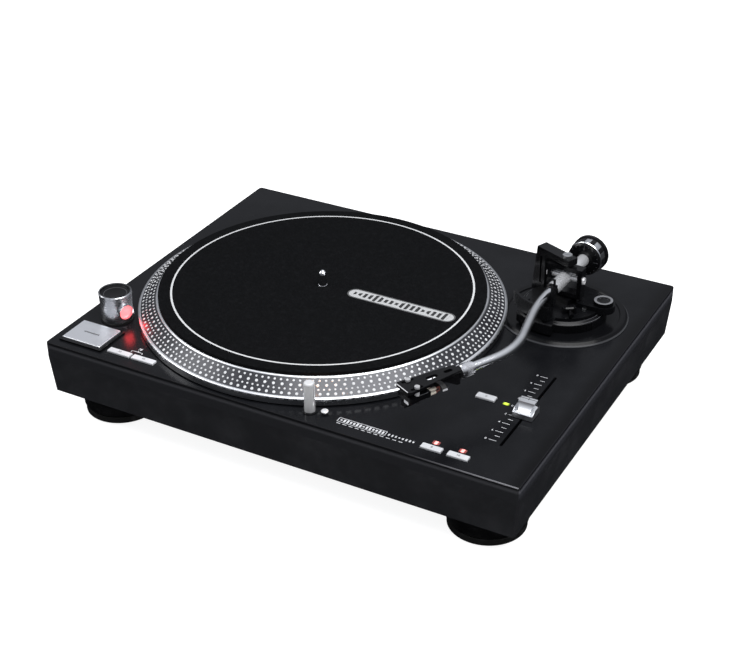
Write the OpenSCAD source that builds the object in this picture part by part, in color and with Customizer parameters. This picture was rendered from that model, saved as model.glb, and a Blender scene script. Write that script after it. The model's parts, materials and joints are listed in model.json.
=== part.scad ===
// Direct-drive turntable with an S-shaped tonearm.
// Millimetres, +Z up. The origin is on the floor under the middle of the plinth,
// +X runs to the right of the player and +Y to its back.

/* [Plinth] */
// Deck left of the platter
margin_left = 15.6; // [14:0.2:24]
// Deck right of the platter
margin_right = 102.4; // [98:0.2:124]
// Deck in front of the platter
margin_front = 3.8; // [2.4:0.2:16]
// Deck behind the platter
margin_back = 16.2; // [10:0.2:30]
// Height of the plinth without its feet
plinth_h = 49.7; // [46:0.1:60]
// Height of the straight band around the top
band_h = 14; // [12:0.5:18]
// Radius of the upright corners
corner_r = 2.5; // [1.5:0.5:8]
// Width of the bevel around the deck
edge_bevel = 0.7; // [0.5:0.1:2.5]
// Thickness of the deck
deck_t = 3; // [2.5:0.5:4]
// Thickness of the side walls
wall = 3; // [2.5:0.5:4]
// How far the lower casing draws in at its sides
taper_x = 3; // [0:0.5:5]
// How far the lower casing draws in at front and back
taper_y = 2; // [0:0.5:4]

/* [Feet] */
// Gap between the floor and the plinth
foot_gap = 27.3; // [26:0.1:36]
// Radius of a foot
foot_r = 34; // [28:0.5:36]
// Height of the rubber tread
tread_h = 8; // [5:0.5:12]
// Distance of the foot axes from the plinth's sides
foot_side = 44; // [42:1:60]
// Distance of the front foot axes from the plinth's front
foot_front = 43; // [42:1:60]
// Distance of the rear foot axes from the plinth's back
foot_rear = 49; // [42:1:60]

/* [Platter] */
// Radius of the platter's strobe rim
platter_r = 166; // [163:0.5:167]
// Height of the rim's outer edge above the deck
rim_low = 7; // [5:0.5:9]
// Height of the mat bed above the deck
platter_top = 18.4; // [16:0.2:19]
// Radius of the mat bed, with its bright edge
bed_r = 148.4; // [148:0.2:153]
// Running gap between the platter and the deck
platter_gap = 1.2; // [0.8:0.1:2]
// Thickness of the platter's metal
platter_t = 4; // [3:0.5:5]
// Radius of the spindle
spindle_r = 3.6; // [3.5:0.05:3.65]
// Height of the spindle above the mat
spindle_up = 14.4; // [12:0.2:18]
// Radius of the slipmat
mat_r = 147.5; // [146:0.5:148]
// Thickness of the slipmat
mat_t = 2.7; // [1.5:0.1:3]

/* [Tonearm] */
// Distance from the platter's rim to the tonearm pivot
pivot_gap = 50; // [46:0.5:54]
// Direction from the spindle to the pivot
pivot_bearing = 23.4; // [22:0.2:25]
// Height of the arm tube above the deck
arm_h = 39; // [38:0.5:44]
// Angle of the arm at rest from straight forward
arm_rest_angle = 3.2; // [1:0.2:5]
// Radius of the arm tube
tube_r = 4; // [3.5:0.1:4.5]
// Distance from the pivot to the first bend
bend_start = 36; // [34:0.5:40]
// Radius of the outward bend
bend_out_r = 165; // [150:1:180]
// Angle of the outward bend
bend_out_deg = 14; // [12:0.5:16]
// Length of the straight between the bends
bend_gap = 34.1; // [30:0.1:38]
// Radius of the inward bend
bend_in_r = 72; // [65:0.5:80]
// Offset angle of the headshell
offset_deg = 24; // [22:0.5:26]
// Length of the last straight up to the headshell joint
tube_last = 33.4; // [26:0.1:36]
// Length of the headshell from its joint to its front edge
headshell_l = 55.5; // [52:0.5:60]
// Width of the headshell plate
headshell_w = 19.3; // [17:0.1:21]
// Distance from the headshell's underside to the stylus tip
cartridge_h = 17; // [16:0.2:19]
// Distance between the cartridge screws
screw_pitch = 12.7; // [12.7:0.1:12.7]
// Radius of the counterweight
weight_r = 15.8; // [14:0.1:16.4]
// Distance from the pivot to the counterweight's dial
weight_back = 35; // [35:0.5:40]
// Length of the counterweight with its dial
weight_l = 18.5; // [16:0.5:22]

/* [Tonearm base] */
// Radius of the base flange
flange_r = 57.5; // [54:0.5:58]
// Radius of the height ring
ring_r = 38; // [37:0.5:40]
// Top of the height ring above the deck
ring_top = 12.6; // [11:0.2:13]
// Height of the arm platform above the deck
platform_top = 15; // [15:0.2:16]
// Travel of the arm height adjustment
height_travel = 6; // [4:0.5:6]
// Travel of the cue lifter
cue_travel = 4; // [3:0.5:5]
// Direction of the bearing yoke from the player's width
yoke_turn = 22.5; // [15:0.5:30]
// Distance from the pivot to the yoke's upright
yoke_reach = 21; // [20.5:0.5:24]
// Height of the yoke's top above the deck
yoke_top = 58.5; // [58:0.5:66]

/* [Controls] */
// Width of the start and stop button
start_w = 40; // [36:0.5:42]
// Depth of the start and stop button
start_d = 31; // [28:0.5:33]
// Distance of the start and stop button's middle from the left side
start_left = 30.6; // [28:0.2:34]
// Distance from the strobe tower's axis to the start and stop button's middle
start_before = 36.7; // [36.4:0.1:38]
// Width of a speed button
speed_w = 23; // [20:0.5:24]
// Depth of the small buttons
small_d = 6.3; // [6:0.1:9]
// Distance between the small buttons in a row
small_pitch = 25; // [24.6:0.1:26]
// Distance of the first speed button's middle from the left side
speed_left = 68.7; // [68.7:0.1:72]
// Distance of the small buttons' middle from the front
small_front = 15.6; // [13:0.2:18]
// Width of a pitch range button
range_w = 18; // [16:0.5:20]
// Distance of the second range button's middle from the right side
range_right = 58.5; // [54:0.1:62]
// Distance between the range buttons
range_pitch = 23; // [22.5:0.1:26]
// Width of the reset button
reset_w = 17; // [15:0.5:19]
// Distance of the reset button's middle from the right side
reset_right = 74.3; // [72:0.1:78]
// Distance of the pitch slot from the right side
fader_right = 35.8; // [33:0.2:40]
// Distance of the pitch slot's middle from the front
fader_front = 100; // [96:0.5:110]
// Length of the pitch slot
fader_slot = 112; // [100:1:116]
// Width of the pitch slot
fader_slot_w = 2.5; // [2:0.1:3]
// Place of the pitch slider from the slot's middle
fader_at = -7.2; // [-10:0.1:0]
// Width of the pitch slider's cap
fader_w = 17.5; // [16:0.5:20]
// Length of the pitch slider's cap
fader_l = 15.5; // [14:0.5:18]
// Direction of the strobe tower from the spindle
tower_bearing = 215.32; // [213:0.02:217]
// Distance from the platter's rim to the strobe tower's axis
tower_gap = 18.57; // [18.4:0.01:22]
// Radius of the strobe tower's rim
tower_r = 14.8; // [13.5:0.1:15]
// Height of the strobe tower
tower_h = 28; // [27:0.5:32]
// Direction of the target lamp from the spindle
lamp_bearing = -63.54; // [-64:0.1:-60]
// Distance from the platter's rim to the target lamp's axis
lamp_gap = 5.25; // [5.1:0.05:8]
// Radius of the target lamp
lamp_r = 4.6; // [4:0.1:5]
// Height of the raised target lamp
lamp_h = 27.5; // [24:0.5:28]
// Distance from the lamp to its release button
release_gap = 12.6; // [12:0.1:18]
// How far the release button lies behind the lamp
release_back = 2.3; // [-2:0.1:4]

/* [Clearances] */
// Free gap between pieces that move past each other
gap = 0.3; // [0.3:0.05:0.5]
// Running clearance of a shaft in its bore
run_fit = 0.05; // [0.03:0.01:0.08]
// Travel of the buttons
button_travel = 1.2; // [0.8:0.1:1.4]

/* [Hidden] */
$fn = 96;

// Size and edges of the plinth, height of the deck
plinth_w = margin_left + 2 * platter_r + margin_right;
plinth_d = margin_front + 2 * platter_r + margin_back;
left_x = -plinth_w / 2;
right_x = plinth_w / 2;
front_y = -plinth_d / 2;
back_y = plinth_d / 2;
deck_z = foot_gap + plinth_h;
under_z = deck_z - deck_t;
seam_z = deck_z - band_h;
floor_z = foot_gap + wall;
inner_x = right_x - taper_x - wall;
inner_y = back_y - taper_y - wall;

// Case fastening
post_r = 5;
post_inset = 12;
front_post_inset = 75;
screw_r = 1.6;
screw_hole_r = 1.9;
screw_head_r = 3.4;
screw_head_h = 2;
pilot_r = 1.7;
screw_tip_z = under_z - 3;

// Centres of the platter and of the tonearm pivot
platter_x = left_x + margin_left + platter_r;
platter_y = front_y + margin_front + platter_r;
pivot_distance = platter_r + pivot_gap;
pivot_x = platter_x + pivot_distance * cos(pivot_bearing);
pivot_y = platter_y + pivot_distance * sin(pivot_bearing);
bed_z = deck_z + platter_top;
mat_gap = 0.1;
mat_z = bed_z + mat_gap;
spindle_top = mat_z + mat_t + spindle_up;

// Motor
motor_hole_r = 56;
board_t = 1.6;
motor_board_r = motor_hole_r + 6;
motor_board_z = under_z - board_t;
housing_r = 9;
housing_flange_r = 14;
housing_flange_t = 2;
housing_bottom = floor_z + 14;
housing_floor = 3.7;
housing_top = deck_z + platter_top - platter_t - 6.6;
hub_r = 12;
shaft_low_r = spindle_r + 0.4;
hub_z = housing_top + gap;
stator_r = 43.5;
stator_top = under_z + 9;
poles = 12;
magnet_in = 44.6;
magnet_t = 7;
magnet_h = 11;

// Controls on the deck
tower_x = platter_x + (platter_r + tower_gap) * cos(tower_bearing);
tower_y = platter_y + (platter_r + tower_gap) * sin(tower_bearing);
start_x = left_x + start_left;
start_y = tower_y - start_before;
start_up = 3.5;
bezel_rim = 2.5;
bezel_h = 1.6;
small_y = front_y + small_front;
small_up = 1.5;
speed_x = left_x + speed_left;
range_x = right_x - range_right;
reset_x = right_x - reset_right;
fader_x = right_x - fader_right;
fader_y = front_y + fader_front;
reset_y = fader_y + 1;
reset_d = 7;
button_lip = 0.7;
lip_t = 2;
lip_top = under_z - gap;
lip_z = lip_top - lip_t;
stem_z = lip_z - 6;
control_board_z = stem_z - button_travel - 4;
switch_h = 3.2;
speed_board_left = 12;
speed_board_w = 100;
speed_board_d = 34;
range_board_right = 42;
range_board_w = 60;
range_board_d = 24;
board_behind = 9.4;
led_up = 0.3;
led_fit = 0.1;
led_green_x = reset_x + 18.3;
led_green_y = fader_y;
led_red_y = small_y + 8.4;
range_led_y = led_red_y;

// Pitch fader
fader_stem_w = fader_slot_w - 2 * gap;
fader_stem_l = 6;
fader_box_w = 16;
fader_box_l = fader_slot + 16;
fader_box_h = 11;
fader_wall = 2;
slider_y = fader_y + fader_at;
slider_low = 0.5;
slider_front_h = 5;
slider_top_h = 12;
slider_dip_r = 9;
slider_dip_y = -8.5;
slider_side = 1.5;

// Strobe tower
tower_foot_r = tower_r - 1;
tower_wall = 1.2;
tower_shelf = 18;
shelf_t = 1.7;
window_z = 12.5;
window_r = 6.4;
window_turn = -20;
nozzle_r = window_r + 1.4;
nozzle_reach = tower_r + 1.2;
dial_shaft_r = 3;
dial_r = tower_r - tower_wall - 2 * gap;
dial_top = tower_h - 1.5;

// Target lamp and its release button
lamp_x = platter_x + (platter_r + lamp_gap) * cos(lamp_bearing);
lamp_y = platter_y + (platter_r + lamp_gap) * sin(lamp_bearing);
lamp_below = 9;
lamp_travel = lamp_h - 1;
sleeve_r = lamp_r + 1.4;
sleeve_rim = 0.6;
sleeve_h = 24;
lens_low = lamp_h - 7;
lens_high = lamp_h - 2.2;
release_x = lamp_x + release_gap;
release_y = lamp_y + release_back;
release_r = 3.2;
release_up = 3.4;
release_stem_r = 1.6;

// Rear panels
pan_right = 33;
pan_w = 124;
pan_x = right_x - pan_right - pan_w / 2;
pan_low = floor_z + 3;
pan_high = seam_z - 2.5;
pan_depth = 16;
pan_wall = 2;
pan_back = inner_y - pan_depth;
jack_z = (pan_low + pan_high) / 2;
jack_r = 4.15;
jack_x = pan_x - pan_w / 2 + 20;
jack_pitch = 18;
terminal_x = pan_x;
switch_x = pan_x + pan_w / 2 - 26;
switch_slot = 8.6;
knob_w = 4;
knob_d = 3.4;
inlet_x = left_x + 70;
inlet_w = 24;
inlet_rim = 5;
inlet_body = 26;
core_w = 60;
core_d = 48;
core_h = 24;
coil_w = 40;
coil_d = 62;
core_back = 78;
board_w = 108;
board_d = 98;
board_right = 50;
board_back = 71.2;
board_post_r = 3;
board_inset = 8;
inlet_h = 16.4;
inlet_depth = 19;

// Tonearm: the arm's own frame has +X forward along the arm and +Z up
arm_z = deck_z + arm_h;
bend_1 = [bend_start + bend_out_r * sin(bend_out_deg), bend_out_r * (1 - cos(bend_out_deg))];
bend_2 = bend_1 + bend_gap * [cos(bend_out_deg), sin(bend_out_deg)];
bend_centre = bend_2 + bend_in_r * [sin(bend_out_deg), -cos(bend_out_deg)];
bend_3 = bend_centre + bend_in_r * [sin(offset_deg), cos(offset_deg)];
head_at = bend_3 + tube_last * [cos(offset_deg), -sin(offset_deg)];
nut_l = 13;
nut_r = 5.9;
joint_back = 6;
hair = 0.02;
housing_tube_r = 5.9;
housing_tube_front = 30;
housing_tube_back = 8;
shaft_r = 5.5;
trunnion_r = 2.7;
ring_half = 16.5;
ring_depth = 9;
ring_window = 12.5;
ring_up = 11.5;
ring_down = 17;
window_up = 7.5;
window_down = 13;
pin_r = 2.5;
pin_l = 4.4;
screw_tip_r = 2;

// Tonearm base
flange_floor = 3;
flange_rim = 0.7;
flange_lip = 4;
flange_bevel_r = flange_r - 3;
flange_inner_r = flange_r - 7.5;
boss_r = 26;
spigot_r = 20;
spigot_bottom = -14;
boss_bottom = -16;
platform_r = ring_r - 4.7;
ring_in = platform_r + gap;
lobe_z = ring_top + 0.4;
anti_at = [35, 3.5];
anti_r = 8.7;
anti_house_r = 10.5;
anti_house_top = platform_top + 4.2;
anti_knob_h = 3.1;
anti_shaft_r = 2.5;
yoke_t = 8.5;
yoke_flare = 6.5;
yoke_flare_top = 2;
yoke_depth = 11;
yoke_base_t = 5;
yoke_bar_t = 6.3;
yoke_right = 9;
pivot_screw_r = 3;
rest_at = 37.5;
rest_l = 6;
rest_wall = 3;
lobe_r = 47;
lobe_from = -37;
lobe_to = 12;
skirt_z = flange_lip + 0.8;
lifter_r = 45.5;
lifter_w = 2.5;
lifter_h = 12.7;
lifter_from = -50;
lifter_to = 7;
lifter_post_at = 40.5;
lifter_post_deg = -29;
lifter_post_r = 2.4;
lifter_top = arm_h - tube_r - gap - cue_travel;
cue_deg = 36;
cue_at = 22;
cue_axle_r = 1.5;
cue_hub_r = 2.4;
cue_hub_l = 7;
cue_up = platform_top + 3.2;
clip_at = [6.2, 7.8];
clip_hub_r = 1.6;
clip_arm = 8.5;

// Headshell and cartridge, measured in the headshell's frame
plate_t = 2.4;
plate_top = 5.2;
plate_low = plate_top - plate_t;
plug_r = 5.2;
neck_at = 2;
neck_w = 10;
nose = 2;
keel_w = 9;
keel_low = -8;
keel_end = headshell_l - 33.5;
slot_front = headshell_l - 4;
slot_back = headshell_l - 15.5;
slot_r = 1.4;
window_l = 11;
window_back = 28.5;
cart_screw_x = headshell_l - 10;
cart_w = 16.4;
cart_front = headshell_l - 2;
cart_l = 20;
cart_back = cart_front - cart_l;
cart_neck_w = 8;
cart_top = plate_low - 4.2;
cart_ear_t = 5;
cart_body_h = 11.5;
nut_hex_r = 2;
sleeve_out_r = 2;
cart_low = plate_low - cart_body_h;
stylus_x = headshell_l - 2.5;
tip_z = plate_low - cartridge_h;
screw_shank_r = 1.2;
lead_y = 4.6;
lead_end = cart_back - 10.8;
lead_r = 0.5;
lead_sleeve_r = 1.4;
lead_high = cart_top - 1.5;
lead_low = cart_top - 5;
lift_t = 1.2;
lift_w = 4.5;
lift_x = headshell_l - window_back;
lift_bend = 9;
lift_reach = 10.7;
lift_up = 3.2;

function shell_half(x) = (neck_w + (headshell_w - neck_w) * (x - neck_at) / (headshell_l - nose - neck_at)) / 2;

module round_slab(w, d, r, h) {
    // A plate with upright rounded corners, centred on X and Y
    translate([-w / 2 + r, -d / 2, 0]) cube([w - 2 * r, d, h]);
    translate([-w / 2, -d / 2 + r, 0]) cube([w, d - 2 * r, h]);
    for (x = [-1, 1], y = [-1, 1])
        translate([x * (w / 2 - r), y * (d / 2 - r), 0]) cylinder(r = r, h = h, $fn = 48);
}

module box(w, d, z0, z1) {
    // A block centred on X and Y between two heights
    translate([-w / 2, -d / 2, z0]) cube([w, d, z1 - z0]);
}

module rod(r, z0, z1) {
    // An upright cylinder between two heights
    translate([0, 0, z0]) cylinder(r = r, h = z1 - z0);
}

module rod_x(r, x0, x1) {
    // A cylinder along X
    translate([x0, 0, 0]) rotate([0, 90, 0]) cylinder(r = r, h = x1 - x0);
}

module rod_y(r, y0, y1) {
    // A cylinder along Y
    translate([0, y0, 0]) rotate([-90, 0, 0]) cylinder(r = r, h = y1 - y0);
}

module slot(l, r, z0, z1) {
    // A slot along X with round ends
    for (x = [-1, 1]) translate([x * (l / 2 - r), 0, 0]) rod(r, z0, z1);
    box(l - 2 * r, 2 * r, z0, z1);
}

module at_corners() {
    // The four case screws
    for (x = [-1, 1], y = [-(inner_y - front_post_inset), inner_y - post_inset])
        translate([x * (inner_x - post_inset), y, 0]) children();
}

module at_feet() {
    // The four feet
    for (x = [left_x + foot_side, right_x - foot_side], y = [front_y + foot_front, back_y - foot_rear])
        translate([x, y, 0]) children();
}

module at_platter() { translate([platter_x, platter_y, 0]) children(); }

module at_pivot() { translate([pivot_x, pivot_y, deck_z]) children(); }

module arm_frame() {
    // +X forward along the resting arm, origin on the pivot
    translate([pivot_x, pivot_y, arm_z]) rotate([0, 0, -90 - arm_rest_angle]) children();
}

module base_frame() {
    // As the arm's frame, with its origin on the deck
    at_pivot() rotate([0, 0, -90 - arm_rest_angle]) children();
}

module yoke_frame() { at_pivot() rotate([0, 0, -yoke_turn]) children(); }

module head_frame() {
    arm_frame() translate([head_at.x, head_at.y, 0]) rotate([0, 0, -offset_deg]) children();
}

// ---- casing ----

module deck_cuts() {
    // Everything that passes through the deck
    at_platter() rod(motor_hole_r, under_z - 1, deck_z + 1);
    at_pivot() rod(boss_r + gap, -deck_t - 1, 1);
    translate([start_x, start_y, 0])
        box(start_w + 2 * gap, start_d + 2 * gap, under_z - 1, deck_z + 1);
    for (i = [0, 1]) {
        translate([speed_x + i * small_pitch, small_y, 0])
            box(speed_w + 2 * gap, small_d + 2 * gap, under_z - 1, deck_z + 1);
        translate([range_x - i * range_pitch, small_y, 0])
            box(range_w + 2 * gap, small_d + 2 * gap, under_z - 1, deck_z + 1);
        translate([range_x - i * range_pitch, range_led_y, 0])
            box(6 + 2 * led_fit, 4 + 2 * led_fit, under_z - 1, deck_z + 1);
    }
    translate([reset_x, reset_y, 0])
        box(reset_w + 2 * gap, reset_d + 2 * gap, under_z - 1, deck_z + 1);
    translate([led_green_x, led_green_y, 0])
        box(6 + 2 * led_fit, 3 + 2 * led_fit, under_z - 1, deck_z + 1);
    translate([fader_x, fader_y, 0]) rotate([0, 0, 90])
        slot(fader_slot, fader_slot_w / 2, under_z - 1, deck_z + 1);
    translate([lamp_x, lamp_y, 0]) rod(sleeve_r + led_fit, under_z - 1, deck_z + 1);
    translate([release_x, release_y, 0]) rod(release_stem_r + gap, under_z - 1, deck_z + 1);
    translate([tower_x, tower_y, 0]) rod(tower_foot_r - 3, under_z - 1, deck_z + 1);
}

module top_plate() {
    color("#17181a") difference() {
        union() {
            difference() {
                hull() {
                    translate([0, 0, seam_z])
                        round_slab(plinth_w, plinth_d, corner_r, band_h - edge_bevel);
                    translate([0, 0, deck_z - edge_bevel])
                        round_slab(plinth_w - 0.6 * edge_bevel, plinth_d - 0.6 * edge_bevel, corner_r, 0.7 * edge_bevel);
                    translate([0, 0, deck_z - 0.3 * edge_bevel])
                        round_slab(plinth_w - 2 * edge_bevel, plinth_d - 2 * edge_bevel, corner_r, 0.3 * edge_bevel);
                }
                box(2 * (right_x - wall), 2 * (back_y - wall), seam_z - 1, under_z);
            }
            at_corners() rod(post_r, seam_z, under_z);
        }
        at_corners() rod(pilot_r, seam_z - 1, screw_tip_z + 1);
        deck_cuts();
    }
}

module base_tray() {
    color("#141517") difference() {
        union() {
            difference() {
                hull() {
                    translate([0, 0, seam_z - 1]) round_slab(plinth_w, plinth_d, corner_r, 1);
                    translate([0, 0, foot_gap])
                        round_slab(plinth_w - 2 * taper_x, plinth_d - 2 * taper_y, corner_r, 1);
                }
                box(2 * inner_x, 2 * inner_y, floor_z, seam_z + 1);
            }
            at_corners() rod(post_r, foot_gap + 1, seam_z);
            for (x = [-1, 1], y = [-1, 1])
                translate([platter_x + board_right + x * (board_w / 2 - board_inset),
                           platter_y + board_back + y * (board_d / 2 - board_inset), 0])
                    rod(board_post_r, floor_z - 1, board_posts_z);
        }
        at_corners() {
            rod(screw_hole_r, foot_gap - 1, seam_z + 1);
            rod(screw_head_r + gap, foot_gap - 1, foot_gap + screw_head_h);
        }
        translate([pan_x, back_y, 0]) box(pan_w, 4 * (wall + taper_y), pan_low, pan_high);
        translate([inlet_x, back_y, 0])
            box(inlet_w + 2, 4 * (wall + taper_y), inlet_z - inlet_h / 2 - 1, inlet_z + inlet_h / 2 + 1);
        at_feet() rod(foot_stud_r + gap, foot_gap - 1, floor_z + 1);
    }
}

module case_screws() {
    color("#8d9094") at_corners() {
        rod(screw_r, foot_gap + screw_head_h - 0.5, screw_tip_z);
        rod(screw_head_r, foot_gap + gap, foot_gap + screw_head_h - gap / 2);
    }
}

foot_stud_r = 4;
foot_neck_r = 24;
foot_round = 2;
inlet_z = (floor_z + seam_z) / 2;
board_posts_z = floor_z + 5;

module foot_cups() {
    color("#1b1c1e") at_feet() {
        rotate_extrude() polygon([
            [0, tread_h], [foot_r - foot_round, tread_h], [foot_r, tread_h + foot_round],
            [foot_r, tread_h + 10], [foot_r - foot_round, tread_h + 10 + foot_round],
            [foot_neck_r, tread_h + 10 + foot_round], [foot_neck_r, foot_gap], [0, foot_gap]]);
        rod(foot_stud_r, foot_gap - 1, floor_z + 6);
    }
}

module foot_pads() {
    color("#0d0d0e") at_feet() rotate_extrude() polygon([
        [0, 0], [foot_r - 4, 0], [foot_r - 1.2, 1.8], [foot_r - 1.2, tread_h], [0, tread_h]]);
}

// ---- motor ----

module motor_board() {
    color("#1f5b36") at_platter() difference() {
        rod(motor_board_r, motor_board_z, under_z);
        rod(housing_r + led_fit, motor_board_z - 1, under_z + 1);
    }
}

module motor_stator() {
    // Iron star with a coil on each pole
    color("#b0703c") at_platter() difference() {
        union() {
            rod(20, under_z, stator_top);
            for (i = [0:poles - 1]) rotate([0, 0, i * 360 / poles]) {
                translate([27, 0, 0]) box(26, 5, under_z + 2, stator_top - 2);
                translate([28, 0, 0]) box(13, 8.5, under_z + 0.5, stator_top - 0.5);
                intersection() {
                    rod(stator_r, under_z + 1, stator_top - 1);
                    translate([stator_r - 2, 0, 0]) box(6, 16, under_z, stator_top);
                }
            }
        }
        rod(housing_r + led_fit, under_z - 1, stator_top + 1);
    }
}

module bearing_housing() {
    color("#b08a4a") at_platter() difference() {
        union() {
            rod(housing_r, housing_bottom, housing_top);
            rod(housing_flange_r, motor_board_z - housing_flange_t, motor_board_z);
        }
        rod(shaft_low_r + run_fit, housing_bottom + housing_floor, housing_top + 1);
    }
}

// ---- boards inside ----

module main_board() {
    // Power supply and servo board with its tall parts
    color("#20603a") translate([platter_x + board_right, platter_y + board_back, 0]) {
        box(board_w, board_d, board_posts_z, board_posts_z + board_t);
        for (x = [-38, -20, -2]) translate([x, board_d / 2 - 15, 0])
            rod(6.5, board_posts_z + board_t, board_posts_z + board_t + 12);
        translate([30, 30, 0]) box(34, 10, board_posts_z + board_t, board_posts_z + board_t + 9);
        translate([10, -20, 0]) box(24, 24, board_posts_z + board_t, board_posts_z + board_t + 3);
        translate([-36, -24, 0]) box(14, 20, board_posts_z + board_t, board_posts_z + board_t + 7);
    }
}

module transformer() {
    color("#8a6a3c") translate([inlet_x, back_y - core_back, 0]) {
        box(core_w, core_d, floor_z, floor_z + core_h);
        box(coil_w, coil_d, floor_z + 3, floor_z + core_h - 3);
    }
}

module tact_switch(x, y) {
    translate([x, y, 0]) box(6, 6, control_board_z, control_board_z + switch_h);
}

module board_screws_posts(x, y) {
    translate([x, y, 0]) rod(2.6, control_board_z, under_z);
}

module control_boards() {
    // Switch boards hung from the deck on pillars, one at each side
    color("#20603a") {
        translate([left_x + speed_board_left + speed_board_w / 2, small_y + board_behind, 0])
            box(speed_board_w, speed_board_d, control_board_z - board_t, control_board_z);
        tact_switch(start_x, start_y);
        for (i = [0, 1]) tact_switch(speed_x + i * small_pitch, small_y);
        board_screws_posts(left_x + 54, small_y + 21);
        board_screws_posts(left_x + 108, small_y + 21);
        translate([right_x - range_board_right - range_board_w / 2, small_y + board_behind / 2, 0])
            box(range_board_w, range_board_d, control_board_z - board_t, control_board_z);
        for (i = [0, 1]) tact_switch(range_x - i * range_pitch, small_y);
        board_screws_posts(right_x - 96, small_y + 13);
        board_screws_posts(right_x - 47, small_y + 13);
        translate([reset_x + 6, reset_y, 0])
            box(40, 22, control_board_z - board_t, control_board_z);
        tact_switch(reset_x, reset_y);
        board_screws_posts(reset_x + 12, reset_y + 8);
        board_screws_posts(reset_x + 12, reset_y - 8);
    }
}

module pitch_fader_module() {
    color("#2a2c2f") translate([fader_x, fader_y, 0]) difference() {
        box(fader_box_w, fader_box_l, under_z - fader_box_h, under_z);
        box(fader_box_w - 2 * fader_wall, fader_box_l - 2 * fader_wall,
            under_z - fader_box_h + fader_wall, under_z - fader_wall);
        rotate([0, 0, 90]) slot(fader_slot, fader_slot_w / 2 + gap, under_z - fader_box_h + fader_wall,
                                under_z + 1);
    }
}

// ---- deck controls ----

module start_stop_bezel() {
    color("#101113") translate([start_x, start_y, deck_z]) difference() {
        round_slab(start_w + 2 * bezel_rim, start_d + 2 * bezel_rim, 1, bezel_h);
        box(start_w + 2 * gap, start_d + 2 * gap, -1, bezel_h + 1);
    }
}

module push_button(w, d, up) {
    // Cap, retaining lip under the deck and stem down to its switch
    hull() {
        translate([0, 0, deck_z]) round_slab(w, d, 0.8, up - 0.4);
        translate([0, 0, deck_z + up - 0.4]) round_slab(w - 0.8, d - 0.8, 0.6, 0.4);
    }
    box(w, d, lip_top - 1, deck_z);
    box(w + 2 * button_lip, d + 2 * button_lip, lip_z, lip_top);
    box(4, 4, stem_z, lip_z);
}

module start_stop_button() {
    color("#c9cbcd") translate([start_x, start_y, 0]) push_button(start_w, start_d, start_up);
}

module button_33() {
    color("#d0d2d4") translate([speed_x, small_y, 0]) push_button(speed_w, small_d, small_up);
}

module button_45() {
    color("#d0d2d4") translate([speed_x + small_pitch, small_y, 0])
        push_button(speed_w, small_d, small_up);
}

module reset_button() {
    color("#d0d2d4") translate([reset_x, reset_y, 0]) push_button(reset_w, reset_d, small_up);
}

module range_button_a() {
    color("#d0d2d4") translate([range_x - range_pitch, small_y, 0])
        push_button(range_w, small_d, small_up);
}

module range_button_b() {
    color("#d0d2d4") translate([range_x, small_y, 0]) push_button(range_w, small_d, small_up);
}

module led_green() {
    color("#b8ff3c") translate([led_green_x, led_green_y, 0]) box(6, 3, under_z - 1, deck_z + led_up);
}

module led_red() {
    color("#ff4030") for (i = [0, 1]) translate([range_x - i * range_pitch, range_led_y, 0])
        box(6, 4, under_z - 1, deck_z + led_up);
}

module pitch_slider() {
    // Saddle cap with a raised back, on a flat stem through the slot
    color("#d6d8da") translate([fader_x, slider_y, 0]) {
        difference() {
            box(fader_w, fader_l, deck_z + slider_low, deck_z + slider_top_h);
            translate([0, slider_dip_y, deck_z + slider_front_h + slider_dip_r])
                rod_x(slider_dip_r, -fader_w, fader_w);
            for (s = [-1, 1]) translate([s * fader_w / 2, 0, deck_z + slider_top_h])
                rotate([0, s * 20, 0]) box(2 * slider_side, 2 * fader_l, -7, 3);
        }
        box(fader_stem_w, fader_stem_l, under_z - fader_box_h + fader_wall + gap, deck_z + slider_low + 1);
    }
}

module strobe_tower() {
    // Tapered cup with a window towards the platter
    color("#c4c6ca") translate([tower_x, tower_y, deck_z]) rotate([0, 0, window_turn]) difference() {
        union() {
            rotate_extrude() polygon([[0, 0], [tower_foot_r, 0], [tower_r, tower_h - 0.6],
                                      [tower_r - 0.5, tower_h], [0, tower_h]]);
            translate([0, 0, window_z]) rod_x(nozzle_r, tower_foot_r - 6, nozzle_reach);
        }
        rod(tower_r - tower_wall, tower_shelf + shelf_t, tower_h + 1);
        rod(tower_foot_r - tower_wall - 1, 2, tower_shelf);
        rod(tower_foot_r - 4, -1, 3);
        rod(dial_shaft_r + run_fit, tower_shelf - 1, tower_shelf + shelf_t + 1);
        translate([0, 0, window_z]) rod_x(window_r, 0, nozzle_reach + 1);
    }
}

module strobe_lens() {
    color("#ff5a50") translate([tower_x, tower_y, deck_z + window_z]) rotate([0, 0, window_turn]) intersection() {
        rod_x(window_r - led_fit, tower_foot_r - 4.5, nozzle_reach - 1.2);
        translate([-4, 0, 0]) sphere(r = nozzle_reach + 2.8);
    }
}

module power_dial() {
    // Dished rotary switch in the tower's top
    color("#121315") translate([tower_x, tower_y, deck_z]) {
        difference() {
            rod(dial_r, tower_shelf + shelf_t + gap, dial_top);
            translate([0, 0, dial_top + 24]) sphere(r = 27.2, $fn = 128);
            for (i = [0:2]) rotate([0, 0, 60 + 120 * i]) translate([dial_r, 0, dial_top])
                rod(0.9, -1.2, 1);
        }
        rod(dial_shaft_r, tower_shelf - 6, tower_shelf + shelf_t + 1);
    }
}

module lamp_sleeve() {
    color("#1a1b1d") translate([lamp_x, lamp_y, 0]) difference() {
        union() {
            rod(sleeve_r, deck_z - sleeve_h, deck_z);
            rod(sleeve_r + 0.7, deck_z, deck_z + sleeve_rim);
        }
        rod(lamp_r + run_fit, deck_z - sleeve_h - 1, deck_z + 2);
    }
}

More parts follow.
